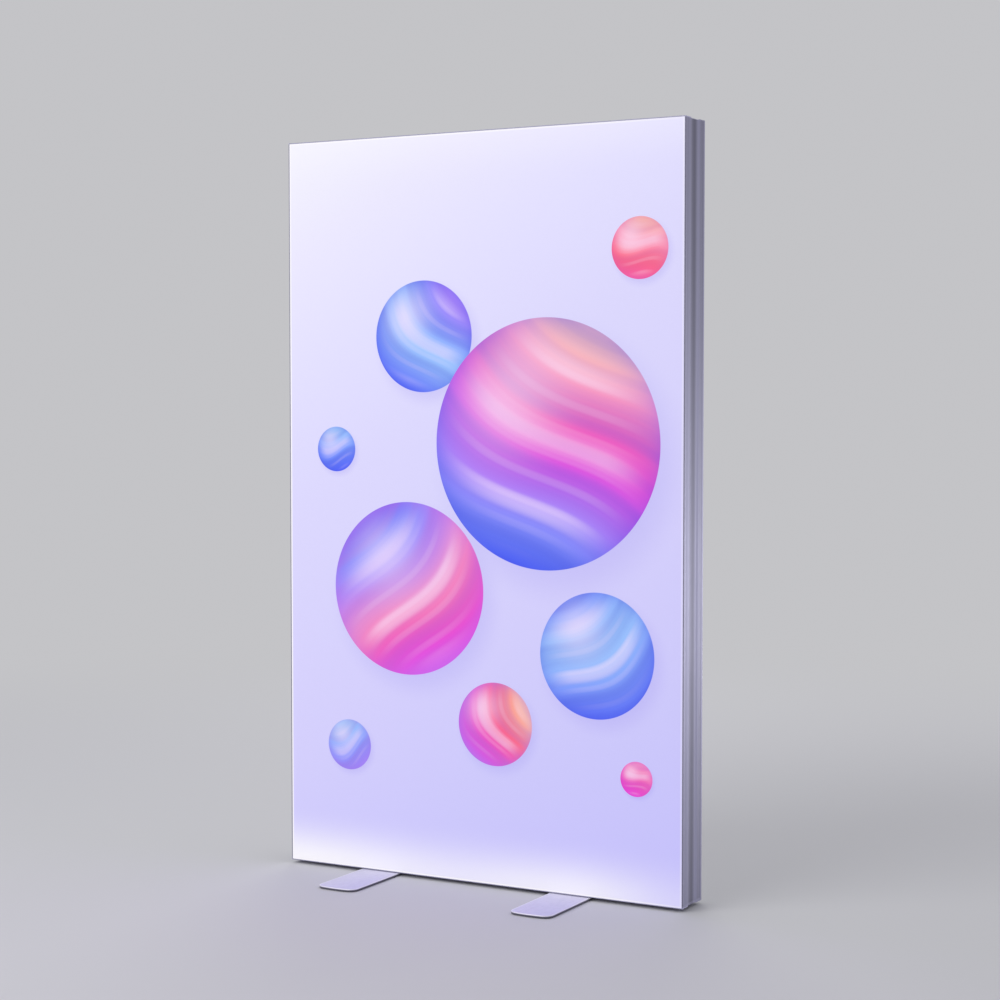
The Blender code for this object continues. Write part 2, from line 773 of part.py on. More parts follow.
def driver_cap(name, height, way, glands, post):
    """An end cap with its ear, screw and glands; way is 1 for the upper cap."""
    frame = Matrix.Translation((-HALF_WIDTH, 0, height))
    half = DRIVER_WIDTH / 2 + CAP_OVERHANG
    face = way * (SEAT_GAP + CAP_LENGTH)
    ends = sorted((way * SEAT_GAP, face))
    cap = box(
        name,
        (MOUNT_FACE, -half, ends[0]),
        (MOUNT_FACE + DRIVER_HEIGHT + CAP_OVERHANG, half, ends[1]),
        "black",
        frame,
    )
    ear_ends = sorted((way * (SEAT_GAP + CAP_LENGTH / 2), face + way * EAR_LENGTH))
    ear = box(
        f"{name}_ear",
        (MOUNT_FACE, -half / 2, ear_ends[0]),
        (MOUNT_FACE + EAR_THICK, half / 2, ear_ends[1]),
        matrix=frame,
    )
    join(cap, ear)
    for i, place in enumerate(glands):
        gland_ends = sorted((way * (SEAT_GAP + CAP_LENGTH / 2), face + way * GLAND_LENGTH))
        gland_frame = frame @ Matrix.Translation((GLAND_V, place, 0))
        join(cap, cylinder(f"{name}_gland_{i}", GLAND_RADIUS, *gland_ends, gland_frame))
    screw_height = height + face + way * EAR_LENGTH / 2
    mounting_screw(f"{name}_screw", "left", screw_height, MOUNT_FACE + EAR_THICK, post, cap)


def mounting_screw(name, side, along, seat, bar, held):
    """A socket screw that holds a piece to the inner wall of a post."""
    frame = inward_frame(side, along, seat + SEAT_GAP)
    profile = [
        (0, SCREW_HEAD_HEIGHT),
        (SCREW_HEAD_RADIUS, SCREW_HEAD_HEIGHT),
        (SCREW_HEAD_RADIUS, 0),
        (SCREW_RADIUS, 0),
        (SCREW_RADIUS, -SCREW_LENGTH),
        (0, -SCREW_LENGTH),
    ]
    screw = turned(name, profile, frame, "steel")
    head = frame @ Matrix.Translation((0, 0, SCREW_HEAD_HEIGHT))
    cut(screw, hex_cutter(f"{name}_socket", SCREW_SOCKET, SCREW_HEAD_HEIGHT / 2, head))
    hole = cylinder(
        f"{name}_hole",
        SCREW_RADIUS + SCREW_FIT,
        -SCREW_LENGTH - SEAT_GAP,
        CUT_OVERRUN,
        frame,
    )
    cut(bar, hole)
    cut(held, hole)


def driver(post):
    middle = DRIVER_BOTTOM + DRIVER_LENGTH / 2
    extruded("driver_case", [driver_section()], DRIVER_LENGTH / 2, post_frame(middle), "driver")
    driver_cap("driver_cap_mains", DRIVER_BOTTOM, -1, (0,), post)
    driver_cap("driver_cap_output", DRIVER_TOP, 1, (-GLAND_SPREAD, GLAND_SPREAD), post)


# Inlet and switch


def socket_outline():
    """The mouth of the inlet: a rectangle with its two upper corners cut off."""
    half = SOCKET_HEIGHT / 2
    return [
        (-SOCKET_HALF, -half),
        (SOCKET_HALF, -half),
        (SOCKET_HALF, half - SOCKET_CHAMFER),
        (SOCKET_HALF - SOCKET_CHAMFER, half),
        (-SOCKET_HALF + SOCKET_CHAMFER, half),
        (-SOCKET_HALF, half - SOCKET_CHAMFER),
    ]


def slab(name, outline, low, high, height, look=None):
    """An outline on the left post, extruded between two depths below the outer face."""
    frame = outward_frame(height, (low + high) / 2)
    return extruded(name, [outline], (high - low) / 2, frame, look)


def inlet(post):
    """A flush inlet module in the post's channel, with a three-pin socket and a switch bay."""
    flange = rounded(FLANGE_HALF, FLANGE_LENGTH / 2, FLANGE_ROUND)
    module = slab("inlet_module", flange, FLANGE_FACE, FLANGE_UNDER, INLET_HEIGHT, "black")
    body = rounded(MODULE_HALF, MODULE_HALF_LENGTH, FLANGE_ROUND)
    body_top = FLANGE_UNDER - FLANGE_THICK / 2
    join(module, slab("inlet_body", body, body_top, MODULE_BACK, INLET_HEIGHT))
    mouth = slab(
        "inlet_mouth",
        socket_outline(),
        FLANGE_FACE - CUT_OVERRUN,
        FLANGE_FACE + SOCKET_DEPTH,
        SOCKET_PLACE,
    )
    cut(module, mouth)
    bay_half = (ROCKER_WIDTH / 2 + SEAT_GAP, BAY_HALF_LENGTH)
    bay = box(
        "inlet_bay",
        (-HALF_WIDTH + FLANGE_FACE - CUT_OVERRUN, -bay_half[0], ROCKER_PLACE - bay_half[1]),
        (-HALF_WIDTH + FLANGE_FACE + BAY_DEPTH, bay_half[0], ROCKER_PLACE + bay_half[1]),
    )
    cut(module, bay)
    cut(module, axle("inlet_axle", ROCKER_AXLE + SEAT_GAP, ROCKER_STUB + SEAT_GAP))
    pins = [(-PIN_SPREAD, 0), (0, EARTH_OFFSET), (PIN_SPREAD, 0)]
    floor = -HALF_WIDTH + FLANGE_FACE + SOCKET_DEPTH
    for i, (y, z) in enumerate(pins):
        z += SOCKET_PLACE - EARTH_OFFSET / 2
        pin = box(
            f"inlet_pin_{i}",
            (floor - PIN_LENGTH, y - PIN_WIDTH / 2, z - PIN_HEIGHT / 2),
            (floor + SOCKET_WALL, y + PIN_WIDTH / 2, z + PIN_HEIGHT / 2),
        )
        join(module, pin)
    hole = rounded(MODULE_HALF + SEAT_GAP, MODULE_HALF_LENGTH + SEAT_GAP, FLANGE_ROUND)
    cut(post, slab("inlet_hole", hole, -CUT_OVERRUN, CHAMBER_FLOOR + CUT_OVERRUN, INLET_HEIGHT))
    window_u = max(HOOK_OUT, MODULE_HALF) + WINDOW_MARGIN
    window_z = MODULE_HALF_LENGTH + WINDOW_MARGIN
    window = slab(
        "inlet_window",
        rounded(window_u, window_z, FLANGE_ROUND),
        CHAMBER_ROOF - CUT_OVERRUN,
        HOOK_TOP + CUT_OVERRUN,
        INLET_HEIGHT,
    )
    cut(post, window)


def axle(name, radius, stub):
    """The rocker's axle through the bay, with a stub of the given length at each side."""
    half = ROCKER_WIDTH / 2 + SEAT_GAP + stub
    place = (-HALF_WIDTH + FLANGE_FACE + ROCKER_PIVOT, 0, ROCKER_PLACE)
    frame = Matrix.Translation(place) @ Matrix.Rotation(math.pi / 2, 4, "X")
    return cylinder(name, radius, -half, half, frame)


def rocker():
    """The switch's rocker, two flats that meet in a valley, tilted to its on position."""
    half = ROCKER_LENGTH / 2
    tip = ROCKER_PIVOT - ROCKER_DROP
    valley = tip - half * math.tan(ROCKER_TILT)
    outline = [
        (half, tip),
        (0, valley),
        (-half, tip),
        (-half, 0),
        (-half / 2, -ROCKER_KEEL),
        (half / 2, -ROCKER_KEEL),
        (half, 0),
    ]
    pivot = Vector((-HALF_WIDTH + FLANGE_FACE + ROCKER_PIVOT, 0, ROCKER_PLACE))
    axes = Matrix(((0, 0, 1), (-1, 0, 0), (0, -1, 0))).transposed().to_4x4()
    frame = Matrix.Translation(pivot) @ Matrix.Rotation(-ROCKER_TILT, 4, "Y") @ axes
    piece = extruded("switch_rocker", [outline], ROCKER_WIDTH / 2, frame, "black")
    join(piece, axle("switch_axle", ROCKER_AXLE, ROCKER_STUB - SEAT_GAP))


# Brace


def brace(bars):
    """A tube between the posts at mid height, on a pegged plate at each end."""
    plate_face = MOUNT_FACE + BRACE_PLATE
    for side in ("left", "right"):
        frame = inward_frame(side, FRAME_MIDDLE, 0)
        name = f"brace_socket_{side}"
        outline = rounded(BRACE_PLATE_LENGTH / 2, BRACE_PLATE_WIDTH / 2, BRACE_PLATE_ROUND)
        plate_frame = frame @ Matrix.Translation((0, 0, MOUNT_FACE + BRACE_PLATE / 2))
        plate = extruded(name, [outline], BRACE_PLATE / 2, plate_frame, "cast")
        peg_radius = BRACE_RADIUS - BRACE_WALL - SEAT_GAP
        peg_ends = (plate_face - BRACE_PLATE / 2, plate_face + BRACE_PEG)
        join(plate, cylinder(f"{name}_peg", peg_radius, *peg_ends, frame, sides=TUBE_SIDES))
        for end, way in (("lower", -1), ("upper", 1)):
            height = FRAME_MIDDLE + way * BRACE_SCREW_SPREAD
            mounting_screw(f"brace_screw_{side}_{end}", side, height, plate_face, bars[side], plate)
    half = HALF_WIDTH - plate_face - SEAT_GAP
    lay = Matrix.Translation((0, 0, FRAME_MIDDLE)) @ Matrix.Rotation(math.pi / 2, 4, "Y")
    rings = [circle(BRACE_RADIUS, TUBE_SIDES), circle(BRACE_RADIUS - BRACE_WALL, TUBE_SIDES)]
    extruded("brace_tube", rings, half, lay, "silver")


# Leads


def on_post(route):
    """World points from (v, depth, height) points on the left post."""
    return [(-HALF_WIDTH + v, y, z) for v, y, z in route]


# The leads' own points, as steps of (v, depth, height) from the place that each run starts at
MAINS_ROUTE = [
    (0, 0, 0),
    (0.0040, 0, 0),
    (0.0110, 0, 0.0030),
    (0.0175, 0, 0.0120),
    (0.0205, 0, 0.0280),
]
OUT_ROUTE = [
    (0, 0, 0),
    (0, 0, 0.0150),
    (-0.0010, 0.0040, 0.0350),
    (-0.0060, 0.0140, 0.0600),
    (-0.0160, 0.0220, 0.0850),
    (-0.0290, 0.0258, 0.1150),
    (-0.0365, 0.0262, 0.1370),
]
BACK_ROUTE = [
    (0, 0, 0),
    (0, 0, 0.0100),
    (-0.0020, -0.0060, 0.0260),
    (-0.0070, -0.0180, 0.0320),
    (-0.0150, -0.0250, 0.0180),
    (-0.0260, -0.0262, -0.0100),
    (-0.0360, -0.0262, -0.0340),
]

# The heights, from the same place, at which each lead lies in its trough
OUT_TROUGH_STEPS = (0.1650, 0.1900, 0.2200)
BACK_TROUGH_STEPS = (-0.0640, -0.0900, -0.1200)

# A lead's bend from its trough to a light bar's plug: the way inwards and the height as shares
# of the board's end inset, and the depth as a share of the trough's place
PLUG_ROUTE_SHARES = [
    (0.09, 1.00, 3.10),
    (0.09, 1.00, 2.60),
    (0.15, 1.00, 2.15),
    (0.27, 1.00, 1.75),
    (0.50, 0.93, 1.30),
    (0.61, 0.60, 0.95),
    (0.68, 0.22, 0.68),
]


def to_plug(side, way):
    """The bend from a trough to the plug of a light bar; way is the trough's side of the depth."""
    base = FRAME_BOTTOM if side == "bottom" else FRAME_TOP
    up = SIDES[side][0].z
    route = []
    for inwards, depth, height in PLUG_ROUTE_SHARES:
        v = max(TROUGH_LEAD, inwards * BOARD_END)
        route.append((v, way * depth * TROUGH_MIDDLE, base + up * height * BOARD_END))
    plug = base + up * PLUG_MIDDLE
    route.append((BOARD_END - SEAT_GAP - PLUG_LENGTH, 0, plug))
    route.append((BOARD_END - SEAT_GAP, 0, plug))
    return route


def step_route(start_point, steps):
    return [tuple(start_point + Vector(step)) for step in steps]


def clip_heights():
    """Heights of the clips between the long lead's first bend and the top of the frame."""
    low = DRIVER_OUTLET + OUT_TROUGH_STEPS[-1]
    return [low + (FRAME_TOP - low) * share for share in CLIP_HEIGHT_SHARES]


def leads():
    """The mains lead, and a lead from the driver to each light bar by way of a trough."""
    begin = Vector((MODULE_BACK + SEAT_GAP, 0, SOCKET_PLACE))
    route = step_route(begin, MAINS_ROUTE) + [(GLAND_V, 0, DRIVER_INTAKE)]
    tube("mains_lead", smooth_route(on_post(route), MAINS_STEPS), MAINS_RADIUS, "lead")

    leaving = step_route(Vector((GLAND_V, GLAND_SPREAD, DRIVER_OUTLET)), OUT_ROUTE)
    leaving += [(TROUGH_LEAD, TROUGH_MIDDLE, DRIVER_OUTLET + step) for step in OUT_TROUGH_STEPS]
    clipped = [(TROUGH_LEAD, TROUGH_MIDDLE, height) for height in clip_heights()]
    points = smooth_route(on_post(leaving), BEND_STEPS) + on_post(clipped)
    points += smooth_route(on_post(to_plug("top", 1)), BEND_STEPS)
    tube("lead_top", points, LEAD_RADIUS, "lead")

    leaving = step_route(Vector((GLAND_V, -GLAND_SPREAD, DRIVER_OUTLET)), BACK_ROUTE)
    leaving += [(TROUGH_LEAD, -TROUGH_MIDDLE, DRIVER_OUTLET + step) for step in BACK_TROUGH_STEPS]
    points = smooth_route(on_post(leaving), BEND_STEPS)
    points += smooth_route(on_post(to_plug("bottom", -1)), BEND_STEPS)
    tube("lead_bottom", points, LEAD_RADIUS, "lead")


def lead_clips():
    """Clips that grip the trough's walls and bridge the long lead."""
    half = TROUGH_WIDTH / 2 - SEAT_GAP
    hollow = LEAD_RADIUS + SEAT_GAP
    foot = WALL + SEAT_GAP
    under = TROUGH_LEAD
    top = TROUGH_LEAD + hollow + CLIP_TOP
    arch = [(TROUGH_MIDDLE - u, under + v) for u, v in arc((0, 0), hollow, 0, 2, 2 * ROUND_STEPS)]
    outline = [
        (TROUGH_MIDDLE + half, foot),
        (TROUGH_MIDDLE + half, top),
        (TROUGH_MIDDLE - half, top),
        (TROUGH_MIDDLE - half, foot),
        (TROUGH_MIDDLE - hollow, foot),
        *arch,
        (TROUGH_MIDDLE + hollow, foot),
    ]
    for i, height in enumerate(clip_heights()):
        extruded(f"lead_clip_{i + 1}", [outline], CLIP_LENGTH / 2, post_frame(height), "nylon")


# Feet


def foot_outline(inset):
    """A long plate with round corners and slightly bowed ends, drawn in by an inset."""
    half_x = FOOT_WIDTH / 2 - inset
    half_y = FOOT_LENGTH / 2 - FOOT_BOW - inset
    radius = FOOT_CORNER - inset
    reach = half_x - radius
    end = arc((reach, half_y - radius), radius, 0, 1, CORNER_STEPS)
    end += [(reach * (1 - 2 * i / BOW_STEPS), half_y) for i in range(1, BOW_STEPS)]
    end += arc((-reach, half_y - radius), radius, 1, 2, CORNER_STEPS)
    bowed = [(x, y + FOOT_BOW * (1 - (x / half_x) ** 2)) for x, y in end]
    return bowed + [(-x, -y) for x, y in bowed]


def swivel_foot(side, x, rail):
    """A foot plate with its pad, on a countersunk bolt into a nut plate in the rail."""
    axis = Matrix.Translation((x, 0, 0))
    plate_frame = axis @ Matrix.Translation((0, 0, FOOT_BOTTOM + FOOT_THICK / 2))
    foot = extruded(f"foot_{side}", [foot_outline(0)], FOOT_THICK / 2, plate_frame, "foot")
    bevel = foot.modifiers.new("edge", "BEVEL")
    bevel.width = FOOT_EDGE
    bevel.segments = BEVEL_SEGMENTS
    bevel.limit_method = "ANGLE"
    bevel.angle_limit = SHARP_ANGLE
    bevel.harden_normals = True

    head = BOLT_HEAD_RADIUS
    shank = BOLT_RADIUS
    cone = head - shank
    fit = BOLT_FIT
    head_place = Matrix.Translation((x, 0, FOOT_BOTTOM + BOLT_HEAD_SINK))
    down = head_place @ Matrix.Rotation(math.pi, 4, "X")
    nut_low = FRAME_BOTTOM + CHAMBER_FLOOR + SEAT_GAP
    nut_high = nut_low + NUT_PLATE_THICK
    length = nut_high + BOLT_END - FOOT_BOTTOM - BOLT_HEAD_SINK
    profile = [(0, 0), (head, 0), (shank, -cone), (shank, -length), (0, -length)]
    bolt = turned(f"foot_bolt_{side}", profile, down, "steel", BOLT_SIDES)
    cut(bolt, hex_cutter(f"foot_bolt_{side}_socket", BOLT_SOCKET, BOLT_SOCKET_DEPTH, down))
    sink = BOLT_HEAD_SINK + CUT_OVERRUN
    hole_profile = [
        (0, sink),
        (head + fit, sink),
        (head + fit, 0),
        (shank + fit, -cone),
        (shank + fit, -length - CUT_OVERRUN),
        (0, -length - CUT_OVERRUN),
    ]
    hole = turned(f"foot_bolt_{side}_hole", hole_profile, down, sides=BOLT_SIDES)
    cut(foot, hole)
    cut(rail, hole)

    pad_frame = axis @ Matrix.Translation((0, 0, PAD_THICK / 2))
    window = circle(PAD_WINDOW, BOLT_SIDES)
    extruded(f"foot_pad_{side}", [foot_outline(PAD_INSET), window], PAD_THICK / 2, pad_frame, "pad")

    disc_low = FOOT_TOP + SEAT_GAP
    disc_high = FRAME_BOTTOM + CHANNEL_DEPTH - SEAT_GAP
    disc_frame = axis @ Matrix.Translation((0, 0, (disc_low + disc_high) / 2))
    rings = [circle(CHANNEL_FLAT - DISC_MARGIN, BOLT_SIDES), circle(shank + fit, BOLT_SIDES)]
    extruded(f"swivel_disc_{side}", rings, (disc_high - disc_low) / 2, disc_frame, "nylon")

    nut = box(
        f"nut_plate_{side}",
        (x - NUT_PLATE_LENGTH / 2, -CHAMBER_CLEAR, nut_low),
        (x + NUT_PLATE_LENGTH / 2, CHAMBER_CLEAR, nut_high),
        "steel",
    )
    cut(nut, hole)


def build():
    start()
    bars = frame_bars()
    corners(bars)
    fabrics()
    light_bar("top")
    light_bar("bottom")
    driver(bars["left"])
    inlet(bars["left"])
    rocker()
    brace(bars)
    leads()
    lead_clips()
    swivel_foot("left", LEFT_FOOT_PLACE, bars["bottom"])
    swivel_foot("right", RIGHT_FOOT_PLACE, bars["bottom"])


build()
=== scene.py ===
import json
import math

import bmesh
import bpy
from mathutils import Matrix, Vector


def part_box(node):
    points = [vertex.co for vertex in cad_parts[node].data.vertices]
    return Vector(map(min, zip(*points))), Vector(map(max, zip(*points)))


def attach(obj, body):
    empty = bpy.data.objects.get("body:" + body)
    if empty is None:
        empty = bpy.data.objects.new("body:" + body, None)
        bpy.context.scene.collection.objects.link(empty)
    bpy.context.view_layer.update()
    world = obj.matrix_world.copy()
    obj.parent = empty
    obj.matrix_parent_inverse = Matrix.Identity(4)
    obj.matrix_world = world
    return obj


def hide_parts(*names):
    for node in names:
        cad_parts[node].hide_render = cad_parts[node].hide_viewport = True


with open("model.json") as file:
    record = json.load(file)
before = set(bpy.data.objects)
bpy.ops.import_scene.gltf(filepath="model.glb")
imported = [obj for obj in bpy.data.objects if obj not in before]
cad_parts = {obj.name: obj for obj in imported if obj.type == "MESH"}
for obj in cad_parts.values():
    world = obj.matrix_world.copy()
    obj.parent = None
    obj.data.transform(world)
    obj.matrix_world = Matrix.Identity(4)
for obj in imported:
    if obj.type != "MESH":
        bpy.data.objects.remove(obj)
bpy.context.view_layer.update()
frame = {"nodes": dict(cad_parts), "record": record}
NODES = frame["nodes"]
RECORD = frame["record"]

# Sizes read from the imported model, in metres: x to the right, y to the rear and z up. All other
# lengths are in metres too
GRAPHIC_LOW, GRAPHIC_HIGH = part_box("front_graphic")
LINER_LOW, LINER_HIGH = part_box("rear_liner")
KEDER_LOW, KEDER_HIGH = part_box("keder_front_left")
ROCKER_LOW, ROCKER_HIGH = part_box("switch_rocker")
INLET_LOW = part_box("inlet_module")[0]
FOOT_LOW, FOOT_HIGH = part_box("foot_left")
OTHER_FOOT_LOW, OTHER_FOOT_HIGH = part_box("foot_right")
HALF_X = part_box("post_right")[1].x
HALF_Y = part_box("post_right")[1].y
BOTTOM_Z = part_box("rail_bottom")[0].z
TOP_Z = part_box("rail_top")[1].z
MIDDLE_Z = (BOTTOM_Z + TOP_Z) / 2
HALF_Z = (TOP_Z - BOTTOM_Z) / 2

# Fabric: its thickness, its roll over the frame's edge, the bright rim above its hem, and what
# turns into the groove beyond its face
CLOTH = 0.0003
ROLL = 0.0010
RIM = 0.0044


def tone(r, g, b):
    """A linear colour from the usual 0 to 255 numbers, by the sRGB curve."""
    return tuple(
        v / 255 / 12.92 if v <= 10 else ((v / 255 + 0.055) / 1.055) ** 2.4 for v in (r, g, b)
    )


def scaled(colour, factor):
    return tuple(min(1.0, v * factor) for v in colour)


# Colours
BLUE = tone(58, 78, 246)
SKY = tone(128, 152, 254)
ICE = tone(168, 214, 255)
VIOLET = tone(172, 126, 248)
ORCHID = tone(206, 110, 244)
MAGENTA = tone(234, 62, 222)
ROSE = tone(242, 92, 176)
PINK = tone(250, 160, 204)
PEACH = tone(253, 200, 176)
CORAL = tone(255, 98, 108)
GLOW = tone(252, 250, 255)
LUSTRE = tone(255, 234, 255)
PALE = (0.55, 0.55, 0.57)
BLACK = (0.0, 0.0, 0.0)


# Material graphs


class Graph:
    """A material made of a Principled shader and the nodes that feed it, in metres."""

    def __init__(self, name):
        self.material = bpy.data.materials.new(name)
        self.material.use_nodes = True
        tree = self.material.node_tree
        self.nodes = tree.nodes
        self.links = tree.links
        self.shader = self.nodes["Principled BSDF"]
        self.place = self.nodes.new("ShaderNodeTexCoord").outputs["Object"]
        self.x, self.y, self.z = self.add("ShaderNodeSeparateXYZ", self.place).outputs

    def add(self, kind, *inputs, **settings):
        node = self.nodes.new(kind)
        for name, value in settings.items():
            setattr(node, name, value)
        for socket, value in zip(node.inputs, inputs):
            self.feed(socket, value)
        return node

    def feed(self, socket, value):
        if value is None:
            return
        if isinstance(value, bpy.types.NodeSocket):
            self.links.new(value, socket)
        elif socket.type == "RGBA":
            socket.default_value = (*value[:3], 1)
        else:
            socket.default_value = value

    def math(self, operation, a, b=None, c=None, clamp=False):
        return self.add("ShaderNodeMath", a, b, c, operation=operation, use_clamp=clamp).outputs[0]

    def less(self, a, b):
        return self.math("SUBTRACT", a, b)

    def times(self, a, b):
        return self.math("MULTIPLY", a, b)

    def line(self, value, factor, offset):
        return self.math("MULTIPLY_ADD", value, factor, offset)

    def size(self, value):
        return self.math("ABSOLUTE", value)

    def most(self, first, *others):
        for other in others:
            first = self.math("MAXIMUM", first, other)
        return first

    def least(self, first, *others):
        for other in others:
            first = self.math("MINIMUM", first, other)
        return first

    def vector(self, operation, a, b=None):
        node = self.add("ShaderNodeVectorMath", a, b, operation=operation)
        return node.outputs["Value"] if operation in ("LENGTH", "DISTANCE") else node.outputs[0]

    def flat_spot(self, across, along):
        """A point in a plane, for its distance from the plane's origin."""
        return self.add("ShaderNodeCombineXYZ", across, along, 0.0).outputs[0]

    def mix(self, share, a, b):
        node = self.add("ShaderNodeMix", data_type="RGBA")
        self.feed(node.inputs[0], share)
        self.feed(node.inputs[6], a)
        self.feed(node.inputs[7], b)
        return node.outputs[2]

    def ramp(self, value, stops, ease="LINEAR"):
        node = self.add("ShaderNodeValToRGB", value)
        ramp = node.color_ramp
        ramp.interpolation = ease
        while len(ramp.elements) < len(stops):
            ramp.elements.new(0.5)
        for element, (place, colour) in zip(ramp.elements, stops):
            element.position = place
            element.color = (*colour, 1)
        return node.outputs[0]

    def levels(self, value, stops, ease="LINEAR"):
        """A ramp of plain levels."""
        return self.ramp(value, [(at, (level,) * 3) for at, level in stops], ease)

    def between(self, value, low, high, out_low=0.0, out_high=1.0, kind="SMOOTHSTEP"):
        """The value's place between two limits, clamped."""
        node = self.add("ShaderNodeMapRange", value, low, high, out_low, out_high)
        node.interpolation_type = kind
        return node.outputs[0]

    def noise(self, scale, stretch=(1, 1, 1), detail=2.0, rough=0.5):
        vector = self.add("ShaderNodeMapping", self.place)
        vector.inputs["Scale"].default_value = stretch
        node = self.add("ShaderNodeTexNoise", vector.outputs[0])
        node.inputs["Scale"].default_value = scale
        node.inputs["Detail"].default_value = detail
        node.inputs["Roughness"].default_value = rough
        return node.outputs["Fac"]

    def ridges(self, per_metre, direction):
        """Even ridges across one axis."""
        node = self.add("ShaderNodeTexWave", self.place, bands_direction=direction)
        node.inputs["Scale"].default_value = per_metre * math.pi / 10
        return node.outputs["Fac"]

    def bump(self, height, strength, distance, after=None):
        node = self.add("ShaderNodeBump")
        node.inputs["Strength"].default_value = strength
        node.inputs["Distance"].default_value = distance
        self.links.new(height, node.inputs["Height"])
        if after is not None:
            self.links.new(after, node.inputs["Normal"])
        return node.outputs[0]

    def done(self, **inputs):
        """Sets the shader's inputs by name, with underscores for spaces."""
        for name, value in inputs.items():
            self.feed(self.shader.inputs[name.replace("_", " ")], value)
        return self.material


# Metals and plastics

GRAIN_DEPTH = 0.0002

# Streaks: cells per metre along each axis, and how many fine streaks a broad one spans
STREAKS = {"X": (8, 1600, 1600), "Z": (1600, 1600, 8)}
STREAK_SPAN = 12
STREAK_SHADE = 0.22

# Aluminium as anodised outside and bare inside, in shade and in light, and how rough it is
ALUMINIUM_LOW = (0.338, 0.330, 0.466)
ALUMINIUM_HIGH = (0.406, 0.397, 0.544)
BARE_LOW = (0.400, 0.398, 0.430)
BARE_HIGH = (0.480, 0.478, 0.510)
ALUMINIUM_DARK = scaled(ALUMINIUM_LOW, 0.10)
ALUMINIUM_LIGHT = scaled(ALUMINIUM_HIGH, 1.55)
ALUMINIUM_ROUGH = (0.46, 0.56)

# Places on the extrusion, measured from the middle of its depth or inwards from an outer face.
# A pair is where something starts and ends. What is named shade or light is a share
SKIN = (-0.0034, -0.0026)
WELL_TURN = (-0.002, 0.002)
WELL_START = 0.001
WELL_ENDS = (0.035, 0.022)
WELL_SHADE = 0.52
LEDGE_MIDDLE = 0.0455
LEDGE = (0.0005, 0.0040)
LEDGE_SHADE = 0.08
FRONT_EDGE = (0.0026, 0.0058)
FRONT_EDGE_SHADE = 0.32
REAR_LAND = (0.026, 0.036)
REAR_LAND_SHADE = 0.23
CORNER = (0.0008, 0.0042)
CORNER_RUN = (0.030, 0.0)
CORNER_LIGHT = (0.30, 0.85)
LOWER_HEM = (0.0095, 0.0065)
LOWER_HEM_LIGHT = 0.22
REAR_EDGE = (0.0085, 0.0055)
REAR_EDGE_LIGHT = 0.30
FLANK_MIDDLE = 0.0220
FLANK = (0.0, 0.0075)
FLANK_LIGHT = 0.12


def extruded_metal(name, along):
    """Satin anodised extrusion with fine lines along it.

    Its channel, ledges, front edge and rear land lie in shade. Its corners, its lower hem, its
    rear edge and the rear flank of its channel catch light.
    """
    g = Graph(name)
    lines = g.noise(1.0, STREAKS[along], detail=3.0, rough=0.6)
    broad = g.noise(1.0, tuple(v / STREAK_SPAN for v in STREAKS[along]))
    cloud = g.noise(2.4, detail=3.0)

    # How far a point lies outside the outer faces, at the sides and at the ends. The skin is what
    # shows from outside, and what lies deeper is bare
    side = g.less(g.size(g.x), HALF_X)
    end = g.less(g.size(g.less(g.z, MIDDLE_Z)), HALF_Z)
    skin = g.between(g.most(side, end), *SKIN)
    low = g.mix(skin, BARE_LOW, ALUMINIUM_LOW)
    tint = g.mix(lines, low, g.mix(skin, BARE_HIGH, ALUMINIUM_HIGH))
    tint = g.mix(g.times(broad, STREAK_SHADE), tint, g.mix(STREAK_SHADE, low, BLACK))

    # Shade: the channel's reaches further in front of its middle than behind it, and the front
    # edge's leaves out the top
    inset = g.size(g.y)
    well_end = g.between(g.y, *WELL_TURN, *WELL_ENDS)
    well = g.between(inset, WELL_START, well_end, WELL_SHADE, 0.0)
    ledge = g.between(g.size(g.less(inset, LEDGE_MIDDLE)), *LEDGE, LEDGE_SHADE, 0.0)
    below = g.between(g.most(side, g.less(BOTTOM_Z, g.z)), *SKIN)
    front = g.between(g.y, *(v - HALF_Y for v in FRONT_EDGE), FRONT_EDGE_SHADE, 0.0)
    land = g.between(g.y, *REAR_LAND, 0.0, REAR_LAND_SHADE)
    shade = g.times(g.most(well, ledge, g.times(front, below), land), skin)
    tint = g.mix(shade, tint, ALUMINIUM_DARK)

    # Light
    corner = g.between(g.most(g.size(side), g.size(end)), *CORNER)
    corner = g.times(g.less(1.0, corner), g.between(g.y, *CORNER_RUN, *CORNER_LIGHT))
    hem = g.between(g.less(g.z, BOTTOM_Z), *LOWER_HEM, 0.0, LOWER_HEM_LIGHT)
    rear = g.between(g.y, *(HALF_Y - v for v in REAR_EDGE), 0.0, REAR_EDGE_LIGHT)
    flank = g.between(g.size(g.less(g.y, FLANK_MIDDLE)), *FLANK, FLANK_LIGHT, 0.0)
    light = g.most(corner, g.times(g.most(hem, rear, flank), skin))
    tint = g.mix(light, tint, ALUMINIUM_LIGHT)

    rough = g.between(lines, 0.2, 0.8, *ALUMINIUM_ROUGH, "LINEAR")
    rough = g.line(cloud, 0.06, rough)
    normal = g.bump(lines, 0.10, GRAIN_DEPTH)
    return g.done(Base_Color=tint, Metallic=0.9, Roughness=rough, Normal=normal)


def worked_metal(name, colour, metallic, rough, grain, bump, stretch=(1, 1, 1)):
    """Plated, cast or coated metal; grain is in cells per metre."""
    g = Graph(name)
    fine = g.noise(grain, stretch, detail=3.0, rough=0.6)
    cloud = g.noise(18.0, detail=3.0)
    share = g.line(fine, 0.5, g.times(cloud, 0.5))
    tint = g.mix(share, scaled(colour, 0.88), scaled(colour, 1.10))
    roughness = g.between(share, 0.25, 0.75, rough - 0.05, rough + 0.07, "LINEAR")
    normal = g.bump(fine, bump, GRAIN_DEPTH)
    return g.done(Base_Color=tint, Metallic=metallic, Roughness=roughness, Normal=normal)


